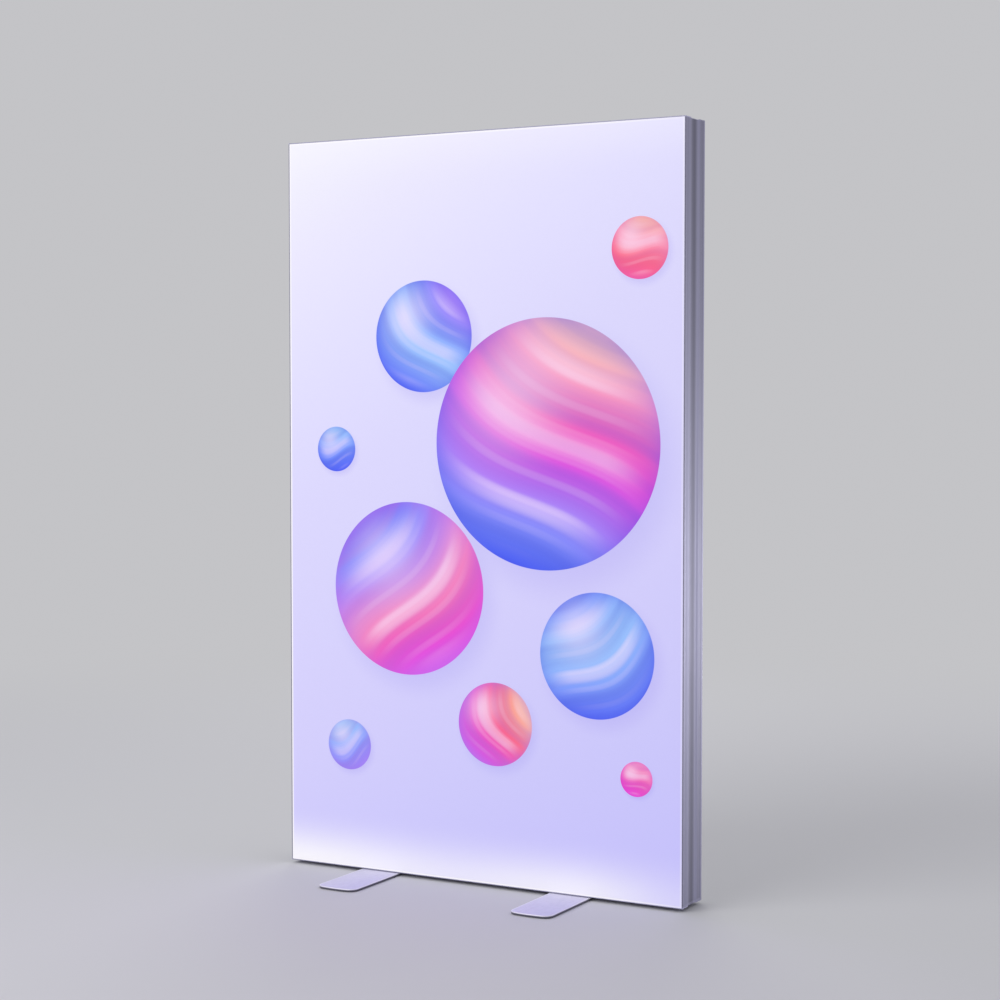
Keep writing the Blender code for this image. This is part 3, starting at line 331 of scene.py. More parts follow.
def plastic(name, colour, rough, grain=2200.0, bump=0.12, paint=None, **more):
    """Moulded plastic or rubber with a fine spark-eroded grain; paint adds its own marks."""
    g = Graph(name)
    fine = g.noise(grain)
    cloud = g.noise(35.0, detail=3.0)
    tint = g.mix(cloud, scaled(colour, 0.90), scaled(colour, 1.08))
    roughness = g.between(fine, 0.3, 0.7, rough - 0.04, rough + 0.06, "LINEAR")
    if paint is not None:
        tint, more = paint(g, tint)
    normal = g.bump(fine, bump, GRAIN_DEPTH)
    return g.done(Base_Color=tint, Roughness=roughness, Normal=normal, **more)


# Paint on the left side. The switch's marks: their distance from its middle, the bar's half
# sizes, the ring's radius and its line, and how deep behind the rocker's front they reach
PAINT_SOFT = 0.00008
MARK_REACH = 0.0046
BAR_HALVES = (0.00028, 0.00150)
RING_RADIUS = 0.00145
RING_LINE = (0.00018, 0.00030)
MARK_DEPTH = (0.0040, 0.0046)
MARK_WHITE = (0.80, 0.80, 0.80)

# The inlet's pins: their height in the module, their spread, the middle one's rise, their half
# sizes, and how deep in the socket they start
PIN_HEIGHT = 0.01325
PIN_SPREAD = 0.007
PIN_RISE = 0.004
PIN_HALVES = (0.00105, 0.00205)
PIN_DEPTH = (0.0050, 0.0052)
NICKEL = (0.66, 0.63, 0.56)


def within(g, y, z, half_y, half_z):
    """A mask over a rectangle of the left side."""
    out = g.most(
        g.less(g.size(g.less(g.y, y)), half_y),
        g.less(g.size(g.less(g.z, z)), half_z),
    )
    return g.between(out, 0.0, PAINT_SOFT, 1.0, 0.0)


def rocker_marks(g, tint):
    """The usual on and off marks of a power switch."""
    middle = (ROCKER_LOW.z + ROCKER_HIGH.z) / 2
    bar = within(g, 0.0, middle + MARK_REACH, *BAR_HALVES)
    spot = g.flat_spot(g.y, g.less(g.z, middle - MARK_REACH))
    ring = g.size(g.less(g.vector("LENGTH", spot), RING_RADIUS))
    ring = g.between(ring, *RING_LINE, 1.0, 0.0)
    outer = g.between(g.x, *(ROCKER_LOW.x + v for v in MARK_DEPTH), 1.0, 0.0)
    marks = g.times(g.most(bar, ring), outer)
    return g.mix(marks, tint, MARK_WHITE), {}


def inlet_pins(g, tint):
    """Nickel on the three pins of the mains inlet."""
    low = INLET_LOW.z + PIN_HEIGHT
    pins = [(-PIN_SPREAD, low), (0.0, low + PIN_RISE), (PIN_SPREAD, low)]
    masks = [within(g, y, z, *PIN_HALVES) for y, z in pins]
    deep = g.between(g.x, *(INLET_LOW.x + v for v in PIN_DEPTH))
    pin = g.times(g.most(*masks), deep)
    return g.mix(pin, tint, NICKEL), {"Metallic": pin}


# A foot's outline, as the imported feet have it, the painted highlight along its rim and the
# painted shade on its sides
FOOT_CORNER = 0.020
FOOT_BOW = 0.006
RIM_HIGHLIGHT = (-0.0050, -0.0022)
RIM_HIGHLIGHT_SHARE = 0.70
SHADED_SIDE = (0.0030, 0.0010)

# Powder coat: its two speckles, what streaks, clouds and mottle add, the rim's painted highlight
# and the sides' painted shade
COAT_LOW = (0.66, 0.64, 0.80)
COAT_HIGH = (0.80, 0.78, 0.92)
COAT_STREAK = (0.58, 0.565, 0.73)
COAT_CLOUD = (0.86, 0.85, 0.95)
COAT_MOTTLE = (0.56, 0.55, 0.69)
COAT_HIGHLIGHT = (0.93, 0.92, 1.0)
COAT_SIDE_SHADE = (0.13, 0.125, 0.17)
COAT_ROUGH = (0.36, 0.48)


def foot_outside(g):
    """How far a point lies outside its foot's outline: round corners and bowed ends."""
    left = (FOOT_LOW.x + FOOT_HIGH.x) / 2
    right = (OTHER_FOOT_LOW.x + OTHER_FOOT_HIGH.x) / 2
    half = (FOOT_HIGH.x - FOOT_LOW.x) / 2
    across = g.less(g.x, g.between(g.x, 0.0, 0.001, left, right))
    bow = g.times(g.math("POWER", g.times(across, 1 / half), 2.0), FOOT_BOW)
    out_x = g.less(g.size(across), half - FOOT_CORNER)
    out_y = g.math("ADD", g.less(g.size(g.y), FOOT_HIGH.y - FOOT_CORNER), bow)
    spot = g.flat_spot(g.most(out_x, 0.0), g.most(out_y, 0.0))
    out = g.math("ADD", g.vector("LENGTH", spot), g.least(g.most(out_x, out_y), 0.0))
    return g.less(out, FOOT_CORNER)


def coated_metal(name):
    """Silver powder coat: fine speckle, long faint streaks, a painted highlight along the rim and
    painted shade on the sides.
    """
    g = Graph(name)
    speckle = g.noise(1300.0, rough=0.7)
    peel = g.noise(420.0)
    streak = g.noise(1.0, (620, 12, 620), detail=3.0)
    cloud = g.noise(9.0, detail=3.0)
    mottle = g.noise(110.0, (1, 0.35, 1), detail=4.0, rough=0.6)
    tint = g.mix(speckle, COAT_LOW, COAT_HIGH)
    tint = g.mix(g.times(streak, 0.30), tint, COAT_STREAK)
    tint = g.mix(g.times(cloud, 0.12), tint, COAT_CLOUD)
    tint = g.mix(g.between(mottle, 0.35, 0.75, 0.0, 0.30), tint, COAT_MOTTLE)
    # Painted highlight: a lighter band just inside the outline, where light would catch the rim
    rim_highlight = g.between(foot_outside(g), *RIM_HIGHLIGHT, 0.0, RIM_HIGHLIGHT_SHARE)
    tint = g.mix(rim_highlight, tint, COAT_HIGHLIGHT)
    # Painted shade: the sides below the top face turn dark
    top = g.between(g.z, FOOT_LOW.z + SHADED_SIDE[0], FOOT_HIGH.z - SHADED_SIDE[1])
    tint = g.mix(top, COAT_SIDE_SHADE, tint)
    rough = g.between(speckle, 0.3, 0.7, *COAT_ROUGH, "LINEAR")
    normal = g.bump(speckle, 0.10, GRAIN_DEPTH, g.bump(peel, 0.12, 0.0004))
    return g.done(Base_Color=tint, Metallic=0.35, Roughness=rough, Normal=normal)


# The light board's two tracks and the pads on them, and its colours
TRACK_PLACE = 0.0068
TRACK = (0.0010, 0.0014)
TRACK_SHARE = 0.22
PAD_PITCH = 0.030
PAD_LENGTH = (0.0012, 0.0016)
PAD_WIDTH = (0.0014, 0.0018)
MASK_LOW = (0.76, 0.77, 0.78)
MASK_HIGH = (0.84, 0.85, 0.86)
TRACK_COLOUR = (0.46, 0.50, 0.48)
TIN = (0.62, 0.62, 0.60)


def circuit_board(name):
    """White solder mask with pale tracks along the board and tinned pads."""
    g = Graph(name)
    fine = g.noise(600.0)
    tint = g.mix(fine, MASK_LOW, MASK_HIGH)
    off_track = g.size(g.less(g.size(g.y), TRACK_PLACE))
    track = g.between(off_track, *TRACK, TRACK_SHARE, 0.0)
    tint = g.mix(track, tint, TRACK_COLOUR)
    run = g.math("PINGPONG", g.line(g.x, 1.0, PAD_PITCH / 2), PAD_PITCH)
    pads = g.between(run, *PAD_LENGTH, 1.0, 0.0)
    pads = g.times(pads, g.between(off_track, *PAD_WIDTH, 1.0, 0.0))
    tint = g.mix(pads, tint, TIN)
    return g.done(Base_Color=tint, Roughness=0.36, Normal=g.bump(track, 0.3, 0.0001))


# The printed fabric


def spread(*colours):
    last = len(colours) - 1
    return [(i / last, colour) for i, colour in enumerate(colours)]


# A motif's colour bands: their waves across it, their bend, and their share of its length
BAND_WAVE = 2.3
BAND_BEND = 0.11
BAND_SHARE = 0.47

# Its folds: how they follow the bands and lean across it, and how much finer the small ones are.
# For the large and the small ones, where on the wave creases and shine start, and their shares
FOLD_BEND = 1.6
FOLD_LEAN = 0.9
FINER = 2.7
CREASE_START = (0.2, 0.0)
CREASE_SHARE = (0.20, 0.08)
SHINE_START = (0.45, 0.3)
SHINE_SHARE = (0.36, 0.12)

# Its sheen, its darker limb and its shadow: their places and reach in radii from its middle, how
# fast they fall, and their shares
SHEEN_SPOT = (-0.34, 0.40)
SHEEN_REACH = 0.95
SHEEN_FALL = 1.9
SHEEN_SHARE = 0.42
LIMB_RISE = 8.0
LIMB_SHARE = 0.34
SHADOW_SPOT = (0.10, -0.14)
SHADOW = (1.20, 0.80)
SHADOW_SHARE = 0.30
SHADOW_COLOUR = tone(168, 158, 240)

# How softly its edge ends, in metres, and a depth that leaves only x and z to count
PRINT_EDGE = 0.0012
DEEP = 1000


def disc(g, under, centre, radius, turn, folds, phase, *colours):
    """A round printed motif with soft satin folds, laid over what is under it."""
    turned = math.radians(turn)
    node = g.add("ShaderNodeMapping", g.place, vector_type="TEXTURE")
    node.inputs["Location"].default_value = (centre[0], 0, centre[1])
    node.inputs["Rotation"].default_value = (0, -turned, 0)
    node.inputs["Scale"].default_value = (radius, DEEP, radius)
    spot = node.outputs[0]
    out = g.vector("LENGTH", spot)
    along, _, across = g.add("ShaderNodeSeparateXYZ", spot).outputs

    def at(x, z):
        """A point given upright, as the turned motif sees it."""
        c, s = math.cos(turned), math.sin(turned)
        return (x * c + z * s, 0, z * c - x * s)

    # Colours along the motif, in bent bands
    bend = g.math("SINE", g.line(across, BAND_WAVE, phase))
    share = g.line(bend, BAND_BEND, g.line(along, BAND_SHARE, 0.5))
    colour = g.ramp(share, spread(*colours), "B_SPLINE")

    # Folds, with smaller ones on them: deeper in the creases, bright on the crests
    swing = g.line(bend, FOLD_BEND, g.line(along, folds * math.pi, phase))
    swing = g.line(across, FOLD_LEAN, swing)
    waves = (g.math("SINE", swing), g.math("SINE", g.line(swing, FINER, phase)))
    large, small = (g.between(wave, start, -1.0) for wave, start in zip(waves, CREASE_START))
    crease = g.line(large, CREASE_SHARE[0], g.times(small, CREASE_SHARE[1]))
    colour = g.mix(crease, colour, scaled(colours[0], 0.70))
    large, small = (g.between(wave, start, 1.0) for wave, start in zip(waves, SHINE_START))
    shine = g.line(large, SHINE_SHARE[0], g.times(small, SHINE_SHARE[1]))
    colour = g.mix(g.times(shine, g.between(out, 1.0, 0.5)), colour, LUSTRE)

    # A soft sheen, a darker limb, and a faint shadow on what lies under the motif
    near = g.vector("DISTANCE", spot, at(*SHEEN_SPOT))
    light = g.math("POWER", g.between(near, SHEEN_REACH, 0.0), SHEEN_FALL)
    colour = g.mix(g.times(light, SHEEN_SHARE), colour, LUSTRE)
    limb = g.times(g.math("POWER", out, LIMB_RISE), LIMB_SHARE)
    colour = g.mix(g.least(limb, LIMB_SHARE), colour, scaled(colours[0], 0.85))
    shade = g.between(g.vector("DISTANCE", spot, at(*SHADOW_SPOT)), *SHADOW)
    under = g.mix(g.times(shade, SHADOW_SHARE), under, SHADOW_COLOUR)
    edge = g.math("MULTIPLY", g.math("SUBTRACT", 1.0, out), radius / PRINT_EDGE, clamp=True)
    return g.mix(edge, under, colour)


# Each motif's middle, radius, turn in degrees, number of folds, phase and colours
DISCS = [
    ((0.475, 1.685), 0.080, 60, 1.5, 0.3, ROSE, CORAL, PINK, PEACH),
    ((-0.165, 1.470), 0.150, 35, 2.2, 1.0, BLUE, SKY, ICE, SKY, VIOLET),
    ((-0.445, 1.165), 0.062, 80, 1.5, 0.5, BLUE, SKY, ICE),
    ((0.205, 1.185), 0.330, 48, 3.2, 0.4, BLUE, SKY, VIOLET, MAGENTA, ROSE, PINK, PEACH),
    ((0.355, 0.640), 0.165, 120, 2.4, 2.0, BLUE, SKY, ICE, SKY),
    ((-0.215, 0.790), 0.235, 140, 2.8, 2.6, ORCHID, MAGENTA, ROSE, PINK, VIOLET, SKY, BLUE),
    ((0.055, 0.440), 0.112, 20, 1.9, 1.2, VIOLET, MAGENTA, ROSE, CORAL, PEACH),
    ((-0.405, 0.350), 0.070, 100, 1.5, 0.8, VIOLET, SKY, ICE),
    ((0.470, 0.330), 0.046, 45, 1.3, 0.2, MAGENTA, ROSE, PINK),
]


# The print's ground from its upper left, mostly downwards: shares of the way and colours
GROUND_ACROSS = 0.25
GROUND = [
    (0.0, tone(243, 242, 251)),
    (0.12, tone(235, 232, 252)),
    (0.25, tone(227, 224, 254)),
    (0.375, tone(221, 217, 253)),
    (0.625, tone(214, 209, 253)),
    (0.80, tone(207, 203, 253)),
    (1.0, tone(200, 195, 254)),
]

# Light from inside: how far it reaches from the lower and the upper hem, how fast it falls, its
# share at the top, and its level and the rim's from left to right
GLOW_LOW = 0.17
GLOW_HIGH = 0.16
GLOW_FALL = 1.6
GLOW_HIGH_SHARE = 0.22
GLOW_LEVELS = [(0.0, 1.0), (0.22, 0.90), (0.45, 0.50), (0.74, 1.0), (0.90, 0.45), (1.0, 0.30)]
RIM_LEVELS = [(0.0, 1.0), (0.55, 0.95), (0.85, 0.70), (1.0, 0.32)]
RIM_ENDS = (RIM + 0.0018, RIM - 0.0016)

# The hem's inside: where the white cloth starts behind the silicone's front, the stitches' pitch
# and length, and their row's depth and width
HEM_START = (0.0006, 0.0016)
STITCH_PITCH = 0.0022
STITCH = (0.0008, 0.0004)
STITCH_ROW = 0.0535
STITCH_WIDTH = (0.0006, 0.0003)

# Threads per metre, across and up, and the stretched cloth's waviness: cells per metre and depth
KNIT = (1500.0, 1700.0)
WEAVE = (1300.0, 1300.0)
WAVES = 7.0
WAVE_DEPTH = 0.002

# How strongly the print glows, and how far its colours are darkened for light that falls on it
BACKLIGHT = 0.70
DARKENED = 0.66

KNIT_COLOUR = tone(120, 112, 150)
HEM_COLOUR = tone(236, 234, 242)
STITCH_COLOUR = tone(150, 150, 162)
STITCH_SHARE = 0.7

# The liner's seam: half its width, its colour and its share. Its cloth's colours
SEAM_HALF = 0.0012
SEAM_COLOUR = (0.35, 0.35, 0.38)
SEAM_SHARE = 0.35
LINER_LIGHT = (0.70, 0.70, 0.73)
LINER_SHADE = (0.62, 0.62, 0.655)
WEAVE_COLOUR = (0.42, 0.42, 0.46)


def threads(g, counts):
    """Where the threads of a cloth cross."""
    return g.times(g.ridges(counts[0], "X"), g.ridges(counts[1], "Z"))


def from_edge(g, low, high):
    """How far a point of a sheet lies inside the outline of its face."""
    side = g.less(high.x, g.size(g.x))
    return g.least(side, g.less(g.z, low.z), g.less(high.z, g.z))


def printed_fabric():
    """Backlit knitted polyester with a generic print of soft round motifs."""
    g = Graph("graphic_fabric")
    low = g.less(g.z, GRAPHIC_LOW.z)
    high = g.less(GRAPHIC_HIGH.z, g.z)
    across = g.line(g.x, 1 / (2 * HALF_X), 0.5)
    down = g.line(high, (1 - GROUND_ACROSS) / (2 * HALF_Z), 0.0)
    picture = g.ramp(g.line(across, GROUND_ACROSS, down), GROUND)
    for centre, radius, turn, folds, phase, *colours in DISCS:
        picture = disc(g, picture, centre, radius, turn, folds, phase, *colours)

    # Brighter near the light bars and along the rim
    swell = g.levels(across, GLOW_LEVELS, "B_SPLINE")
    glow = g.times(g.math("POWER", g.between(low, GLOW_LOW, 0.0), GLOW_FALL), swell)
    above = g.math("POWER", g.between(high, GLOW_HIGH, 0.0), GLOW_FALL)
    picture = g.mix(g.most(glow, g.times(above, GLOW_HIGH_SHARE)), picture, GLOW)
    rim = g.between(from_edge(g, GRAPHIC_LOW, GRAPHIC_HIGH), *RIM_ENDS)
    picture = g.mix(g.times(rim, g.levels(across, RIM_LEVELS)), picture, GLOW)

    knit = threads(g, KNIT)
    slub = g.noise(90.0, (1, 1, 6), detail=3.0)
    seen = g.line(slub, 0.03, g.times(knit, 0.04))
    picture = g.mix(seen, picture, KNIT_COLOUR)

    # In the groove: plain white cloth with a row of stitches
    depth = g.size(g.y)
    hem = g.between(depth, *(-KEDER_LOW.y - v for v in HEM_START))
    run = g.math("PINGPONG", g.math("ADD", g.x, g.z), STITCH_PITCH)
    dash = g.between(run, *STITCH)
    row = g.between(g.size(g.less(depth, STITCH_ROW)), *STITCH_WIDTH)
    stitch = g.times(g.times(g.less(1.0, dash), row), hem)
    picture = g.mix(hem, picture, HEM_COLOUR)
    picture = g.mix(g.times(stitch, STITCH_SHARE), picture, STITCH_COLOUR)

    normal = g.bump(knit, 0.18, GRAIN_DEPTH)
    normal = g.bump(g.noise(WAVES), 0.05, WAVE_DEPTH, normal)
    return g.done(
        Base_Color=g.mix(DARKENED, picture, BLACK),
        Roughness=0.85,
        Normal=normal,
        Emission_Color=picture,
        Emission_Strength=BACKLIGHT,
        Specular_IOR_Level=0.15,
        Sheen_Weight=0.08,
    )


def liner_fabric():
    """Pale blackout polyester with a plain weave and a sewn hem."""
    g = Graph("liner_fabric")
    weave = threads(g, WEAVE)
    slub = g.noise(60.0, (1, 1, 8), detail=3.0)
    cloud = g.noise(3.0, detail=3.0)
    tint = g.mix(cloud, LINER_SHADE, LINER_LIGHT)
    tint = g.mix(g.line(slub, 0.08, g.times(weave, 0.08)), tint, WEAVE_COLOUR)
    seam = g.size(g.less(from_edge(g, LINER_LOW, LINER_HIGH), RIM))
    seam = g.between(seam, SEAM_HALF, 0.0)
    tint = g.mix(g.times(seam, SEAM_SHARE), tint, SEAM_COLOUR)
    normal = g.bump(g.noise(WAVES), 0.08, WAVE_DEPTH)
    normal = g.bump(weave, 0.25, GRAIN_DEPTH, normal)
    normal = g.bump(seam, 0.4, 0.0003, normal)
    return g.done(Base_Color=tint, Roughness=0.88, Normal=normal, Sheen_Weight=0.1)


def phosphor():
    """The yellow face of a white light package."""
    g = Graph("phosphor")
    colour = g.mix(g.noise(900.0), (0.90, 0.78, 0.36), (0.96, 0.86, 0.46))
    return g.done(
        Base_Color=colour, Roughness=0.5, Emission_Color=colour, Emission_Strength=0.6
    )


# Pieces


def from_bmesh(name, bm, smooth=None):
    """An object from a bmesh; edges flatter than smooth, in degrees, are shaded smooth."""
    mesh = bpy.data.meshes.new(name)
    bm.to_mesh(mesh)
    bm.free()
    if smooth is not None:
        mesh.shade_smooth()
        mesh.set_sharp_from_angle(angle=math.radians(smooth))
    obj = bpy.data.objects.new(name, mesh)
    bpy.context.scene.collection.objects.link(obj)
    return obj


def place(obj, body, slot, material):
    """Give a piece its material and let it ride on its body."""
    obj.data.materials.clear()
    obj.data.materials.append(material)
    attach(obj, body)
    return obj


# Copies of CAD nodes: points closer than this are joined, faces flatter to each other than this
# become one, and edges flatter than this are smooth, both in degrees
WELD = 0.000004
FLAT_ANGLE = 0.4
SMOOTH_ANGLE = 34


def refined(node, body, slot, material):
    """A smooth-shaded copy of a CAD node that stands for it."""
    bm = bmesh.new()
    bm.from_mesh(NODES[node].data)
    bmesh.ops.remove_doubles(bm, verts=bm.verts, dist=WELD)
    bmesh.ops.dissolve_limit(
        bm,
        angle_limit=math.radians(FLAT_ANGLE),
        verts=bm.verts,
        edges=bm.edges,
        use_dissolve_boundaries=False,
    )
    obj = place(from_bmesh(f"{node}_fine", bm, SMOOTH_ANGLE), body, slot, material)
    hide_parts(node)
    return obj


# A stretched sheet: its grid, its sag and the run from its edge over which it grows, the steps of
# its roll, the depths of the rings behind the roll, where it ends before the silicone does, the
# slack in telling which points lie at an edge, and the angle up to which it's shaded smooth
SHEET_GRID = (40, 64)
SAG = 0.00008
SAG_RUN = 0.08
ROLL_STEPS = 5
TURNED_DEPTHS = (0.004, 0.008)
SHEET_END = 0.0006
SLACK = 1.001
SHEET_SMOOTH = 40


def sag(x, z, near):
    """How far a stretched sheet sinks back, in faint waves that die out towards its edge.

    The waves' factors are in radians per metre, and their offsets only set them apart.
    """
    ripple = 0.5 - 0.5 * math.cos(math.pi * min(near / SAG_RUN, 1))
    wave = math.sin(x * 23 + 0.7) * math.sin(z * 17 + 0.4) + math.sin(x * 9 + z * 7)
    return SAG * ripple * (2 + wave)


def stretched_sheet(name, way, low, high, material, body, slot):
    """A sheet stretched over the frame's face and rolled over its edges into the groove."""
    face = max(abs(low.y), abs(high.y))
    back = abs(KEDER_HIGH.y) + SHEET_END
    half_x = high.x
    half_z = (high.z - low.z) / 2
    bm = bmesh.new()
    bmesh.ops.create_grid(bm, x_segments=SHEET_GRID[0], y_segments=SHEET_GRID[1], size=1)
    for vert in bm.verts:
        x = vert.co.x * (half_x - ROLL)
        z = vert.co.y * (half_z - ROLL)
        near = min(half_x - abs(x), half_z - abs(z))
        vert.co = (x, way * (face - sag(x, z, near)), MIDDLE_Z + z)

    # Each ring's inset from the outline and its depth behind the face
    rings = []
    for i in range(1, ROLL_STEPS + 1):
        angle = math.pi / 2 * i / ROLL_STEPS
        rings.append((ROLL * (1 - math.sin(angle)), ROLL * (1 - math.cos(angle))))
    rings += [(0, depth) for depth in (*TURNED_DEPTHS, face - back)]
    slack = ROLL * SLACK
    for inset, depth in rings:
        rim = [e for e in bm.edges if e.is_boundary]
        made = bmesh.ops.extrude_edge_only(bm, edges=rim)["geom"]
        for vert in (v for v in made if isinstance(v, bmesh.types.BMVert)):
            x, z = vert.co.x, vert.co.z - MIDDLE_Z
            if abs(x) > half_x - slack:
                x = math.copysign(half_x - inset, x)
            if abs(z) > half_z - slack:
                z = math.copysign(half_z - inset, z)
            vert.co = (x, way * (face - depth), MIDDLE_Z + z)
    bmesh.ops.recalc_face_normals(bm, faces=bm.faces)
    middle = max(bm.faces, key=lambda f: f.calc_area())
    if middle.normal.y * way < 0:
        bmesh.ops.reverse_faces(bm, faces=bm.faces)
    obj = from_bmesh(name, bm, SHEET_SMOOTH)
    solid = obj.modifiers.new("cloth", "SOLIDIFY")
    solid.thickness = CLOTH
    solid.offset = -1
    solid.use_even_offset = True
    return place(obj, body, slot, material)


# A silicone strip's section: its gaps to the cloth beside it and over it and at the mitres, its
# chamfers deep in the groove and at the front, and its ribs with their height, their places and
# the steps of their outline
STRIP_GAP = 0.0001
STRIP_SINK = 0.0002
MITRE_GAP = 0.0002
INNER_CHAMFER = 0.0006
OUTER_CHAMFER = 0.0005
RIB_HEIGHT = 0.00025
RIB_PLACES = (0.0035, 0.0060)
RIB_STEPS = (-0.0005, -0.0001, 0.0003, 0.0009)
STRIP_SMOOTH = 30


def strip_outline():
    """The section's points: how far in from the frame's outer face, and from its middle plane."""
    e0 = KEDER_LOW.x + HALF_X + CLOTH + STRIP_GAP
    e1 = KEDER_HIGH.x + HALF_X
    d0 = abs(KEDER_LOW.y) - STRIP_SINK
    d1 = abs(KEDER_HIGH.y)
    inner = e1 - RIB_HEIGHT
    outline = [(e0, d0), (e0, d1 + INNER_CHAMFER), (e0 + INNER_CHAMFER, d1)]
    outline += [(inner - INNER_CHAMFER, d1), (inner, d1 + INNER_CHAMFER)]
    for rib in RIB_PLACES:
        start, rise, fall, end = (d1 + rib + step for step in RIB_STEPS)
        outline += [(inner, start), (e1, rise), (e1, fall), (inner, end)]
    outline += [(inner, d0 - OUTER_CHAMFER), (inner - OUTER_CHAMFER, d0)]
    return outline


def edge_strip(name, side, way, material, body):
    """A silicone strip behind the sheet's hem, mitred at its ends, with two gripping ribs."""
    outline = strip_outline()
    upright = side in ("left", "right")
    sign = -1 if side in ("left", "bottom") else 1
    half = HALF_Z if upright else HALF_X
    bm = bmesh.new()
    ends = []
    for end in (-1, 1):
        ring = []
        for e, d in outline:
            run = end * (half - e - MITRE_GAP)
            if upright:
                spot = (sign * (HALF_X - e), way * d, MIDDLE_Z + run)
            else:
                spot = (run, way * d, MIDDLE_Z + sign * (HALF_Z - e))
            ring.append(bm.verts.new(spot))
        ends.append(ring)
    for i in range(len(outline)):
        j = (i + 1) % len(outline)
        bm.faces.new((ends[0][i], ends[0][j], ends[1][j], ends[1][i]))
    for ring in ends:
        bm.faces.new(ring)
    bmesh.ops.recalc_face_normals(bm, faces=bm.faces)
    return place(from_bmesh(name, bm, STRIP_SMOOTH), body, "silicone", material)


# The light packages: their pitch, and the half width, base and top of their body and their face
LIGHT_PITCH = 0.060
LIGHT_BODY = (0.0017, 0.0001, 0.0010)
LIGHT_FACE = (0.0013, 0.0010, 0.00115)
LIGHT_BEVEL_SHARE = 1 / 9


def light_packages(side, material, face_material):
    """The light packages under a strip's lenses."""
    low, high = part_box(f"led_lens_{side}")
    up = 1 if side == "bottom" else -1
    face = low.z if side == "bottom" else high.z
    count = int((high.x - low.x) / LIGHT_PITCH)
    first = (low.x + high.x) / 2 - LIGHT_PITCH * (count - 1) / 2
    for name, (half, base, top), look in (
        (f"led_body_{side}", LIGHT_BODY, material),
        (f"led_face_{side}", LIGHT_FACE, face_material),
    ):
        thick = top - base
        bm = bmesh.new()
        for i in range(count):
            size = Matrix.Diagonal((2 * half, 2 * half, thick, 1))
            move = Matrix.Translation((first + LIGHT_PITCH * i, 0, face + up * (base + top) / 2))
            bmesh.ops.create_cube(bm, size=1, matrix=move @ size)
        bevel = thick * LIGHT_BEVEL_SHARE
        bmesh.ops.bevel(bm, geom=bm.edges[:], offset=bevel, segments=1, affect="EDGES")
        place(from_bmesh(name, bm), "frame", "board", look)


BRUSHED_X = (1, 30, 30)
BRUSHED_Z = (30, 30, 1)

# Worked metals: colour, metallic, roughness, grain, bump and stretch
CAST_ALLOY = ((0.50, 0.51, 0.54), 0.75, 0.50, 700.0, 0.35)
SCREW_STEEL = ((0.58, 0.59, 0.61), 1.0, 0.30, 900.0, 0.05)
DRIVER_CASE = ((0.47, 0.48, 0.52), 0.8, 0.38, 60.0, 0.06, BRUSHED_Z)
BRACE_ALUMINIUM = (ALUMINIUM_HIGH, 0.9, 0.38, 60.0, 0.06, BRUSHED_X)

# Plastics: colour, roughness, grain and bump
BLACK_PLASTIC = ((0.030, 0.030, 0.034), 0.42)
ROCKER_PLASTIC = ((0.028, 0.028, 0.031), 0.34)
INLET_PLASTIC = ((0.032, 0.032, 0.036), 0.44)
CABLE_WHITE = ((0.76, 0.76, 0.77), 0.45, 300.0, 0.06)
NYLON = ((0.72, 0.72, 0.69), 0.50, 900.0, 0.08)
PAD_RUBBER = ((0.030, 0.030, 0.033), 0.80, 700.0, 0.35)
LENS = ((0.97, 0.98, 1.0), 0.08, 150.0, 0.02)
LENS_CLEAR = {"Transmission_Weight": 0.94, "IOR": 1.49}
SILICONE = ((0.78, 0.78, 0.76), 0.40, 400.0, 0.05)
LIGHT_PACKAGE = ((0.84, 0.84, 0.83), 0.4, 900.0, 0.05)

SMOOTH_SLOTS = ("frame_aluminium", "foot_coating", "cable_white", "lens")


def dress():
    """Every CAD node's finish, and the pieces that stand for some of them."""
    upright = extruded_metal("frame_aluminium_upright", "Z")
    level = extruded_metal("frame_aluminium_level", "X")
    looks = {
        "cast_alloy": worked_metal("cast_alloy", *CAST_ALLOY),
        "screw_steel": worked_metal("screw_steel", *SCREW_STEEL),
        "driver_case": worked_metal("driver_case", *DRIVER_CASE),
        "board": circuit_board("board"),
        "black_plastic": plastic("black_plastic", *BLACK_PLASTIC),
        "cable_white": plastic("cable_white", *CABLE_WHITE),
        "nylon": plastic("nylon", *NYLON),
        "pad_rubber": plastic("pad_rubber", *PAD_RUBBER),
        "lens": plastic("lens", *LENS, **LENS_CLEAR),
        "foot_coating": coated_metal("foot_coating"),
    }
    own = {
        "post_left": upright,
        "post_right": upright,
        "rail_bottom": level,
        "rail_top": level,
        "brace_tube": worked_metal("brace_aluminium", *BRACE_ALUMINIUM),
        "switch_rocker": plastic("rocker", *ROCKER_PLASTIC, paint=rocker_marks),
        "inlet_module": plastic("inlet", *INLET_PLASTIC, paint=inlet_pins),
    }
    bodies = RECORD["behaviour"]["bodies"]
    body_of = {node: body for body, nodes in bodies.items() for node in nodes}
    for part in RECORD["subparts"]:
        node, slot = part["node"], part["material_slot"]
        look = own.get(node, looks.get(slot))
        if look is None:
            continue
        if slot in SMOOTH_SLOTS:
            refined(node, body_of[node], slot, look)
        else:
            for socket in NODES[node].material_slots:
                socket.material = look

    silicone = plastic("silicone", *SILICONE)
    sheets = (
        ("graphic", "front", -1, GRAPHIC_LOW, GRAPHIC_HIGH, printed_fabric()),
        ("liner", "rear", 1, LINER_LOW, LINER_HIGH, liner_fabric()),
    )
    for body, face, way, low, high, material in sheets:
        sheet = stretched_sheet(f"{body}_sheet", way, low, high, material, body, f"{body}_fabric")
        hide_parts({"front": "front_graphic", "rear": "rear_liner"}[face])
        for side in ("left", "right", "bottom", "top"):
            strip = edge_strip(f"{body}_strip_{side}", side, way, silicone, body)
            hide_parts(f"keder_{face}_{side}")

    package = plastic("led_package", *LIGHT_PACKAGE)
    glowing = phosphor()
    for side in ("bottom", "top"):
        light_packages(side, package, glowing)


# Stage

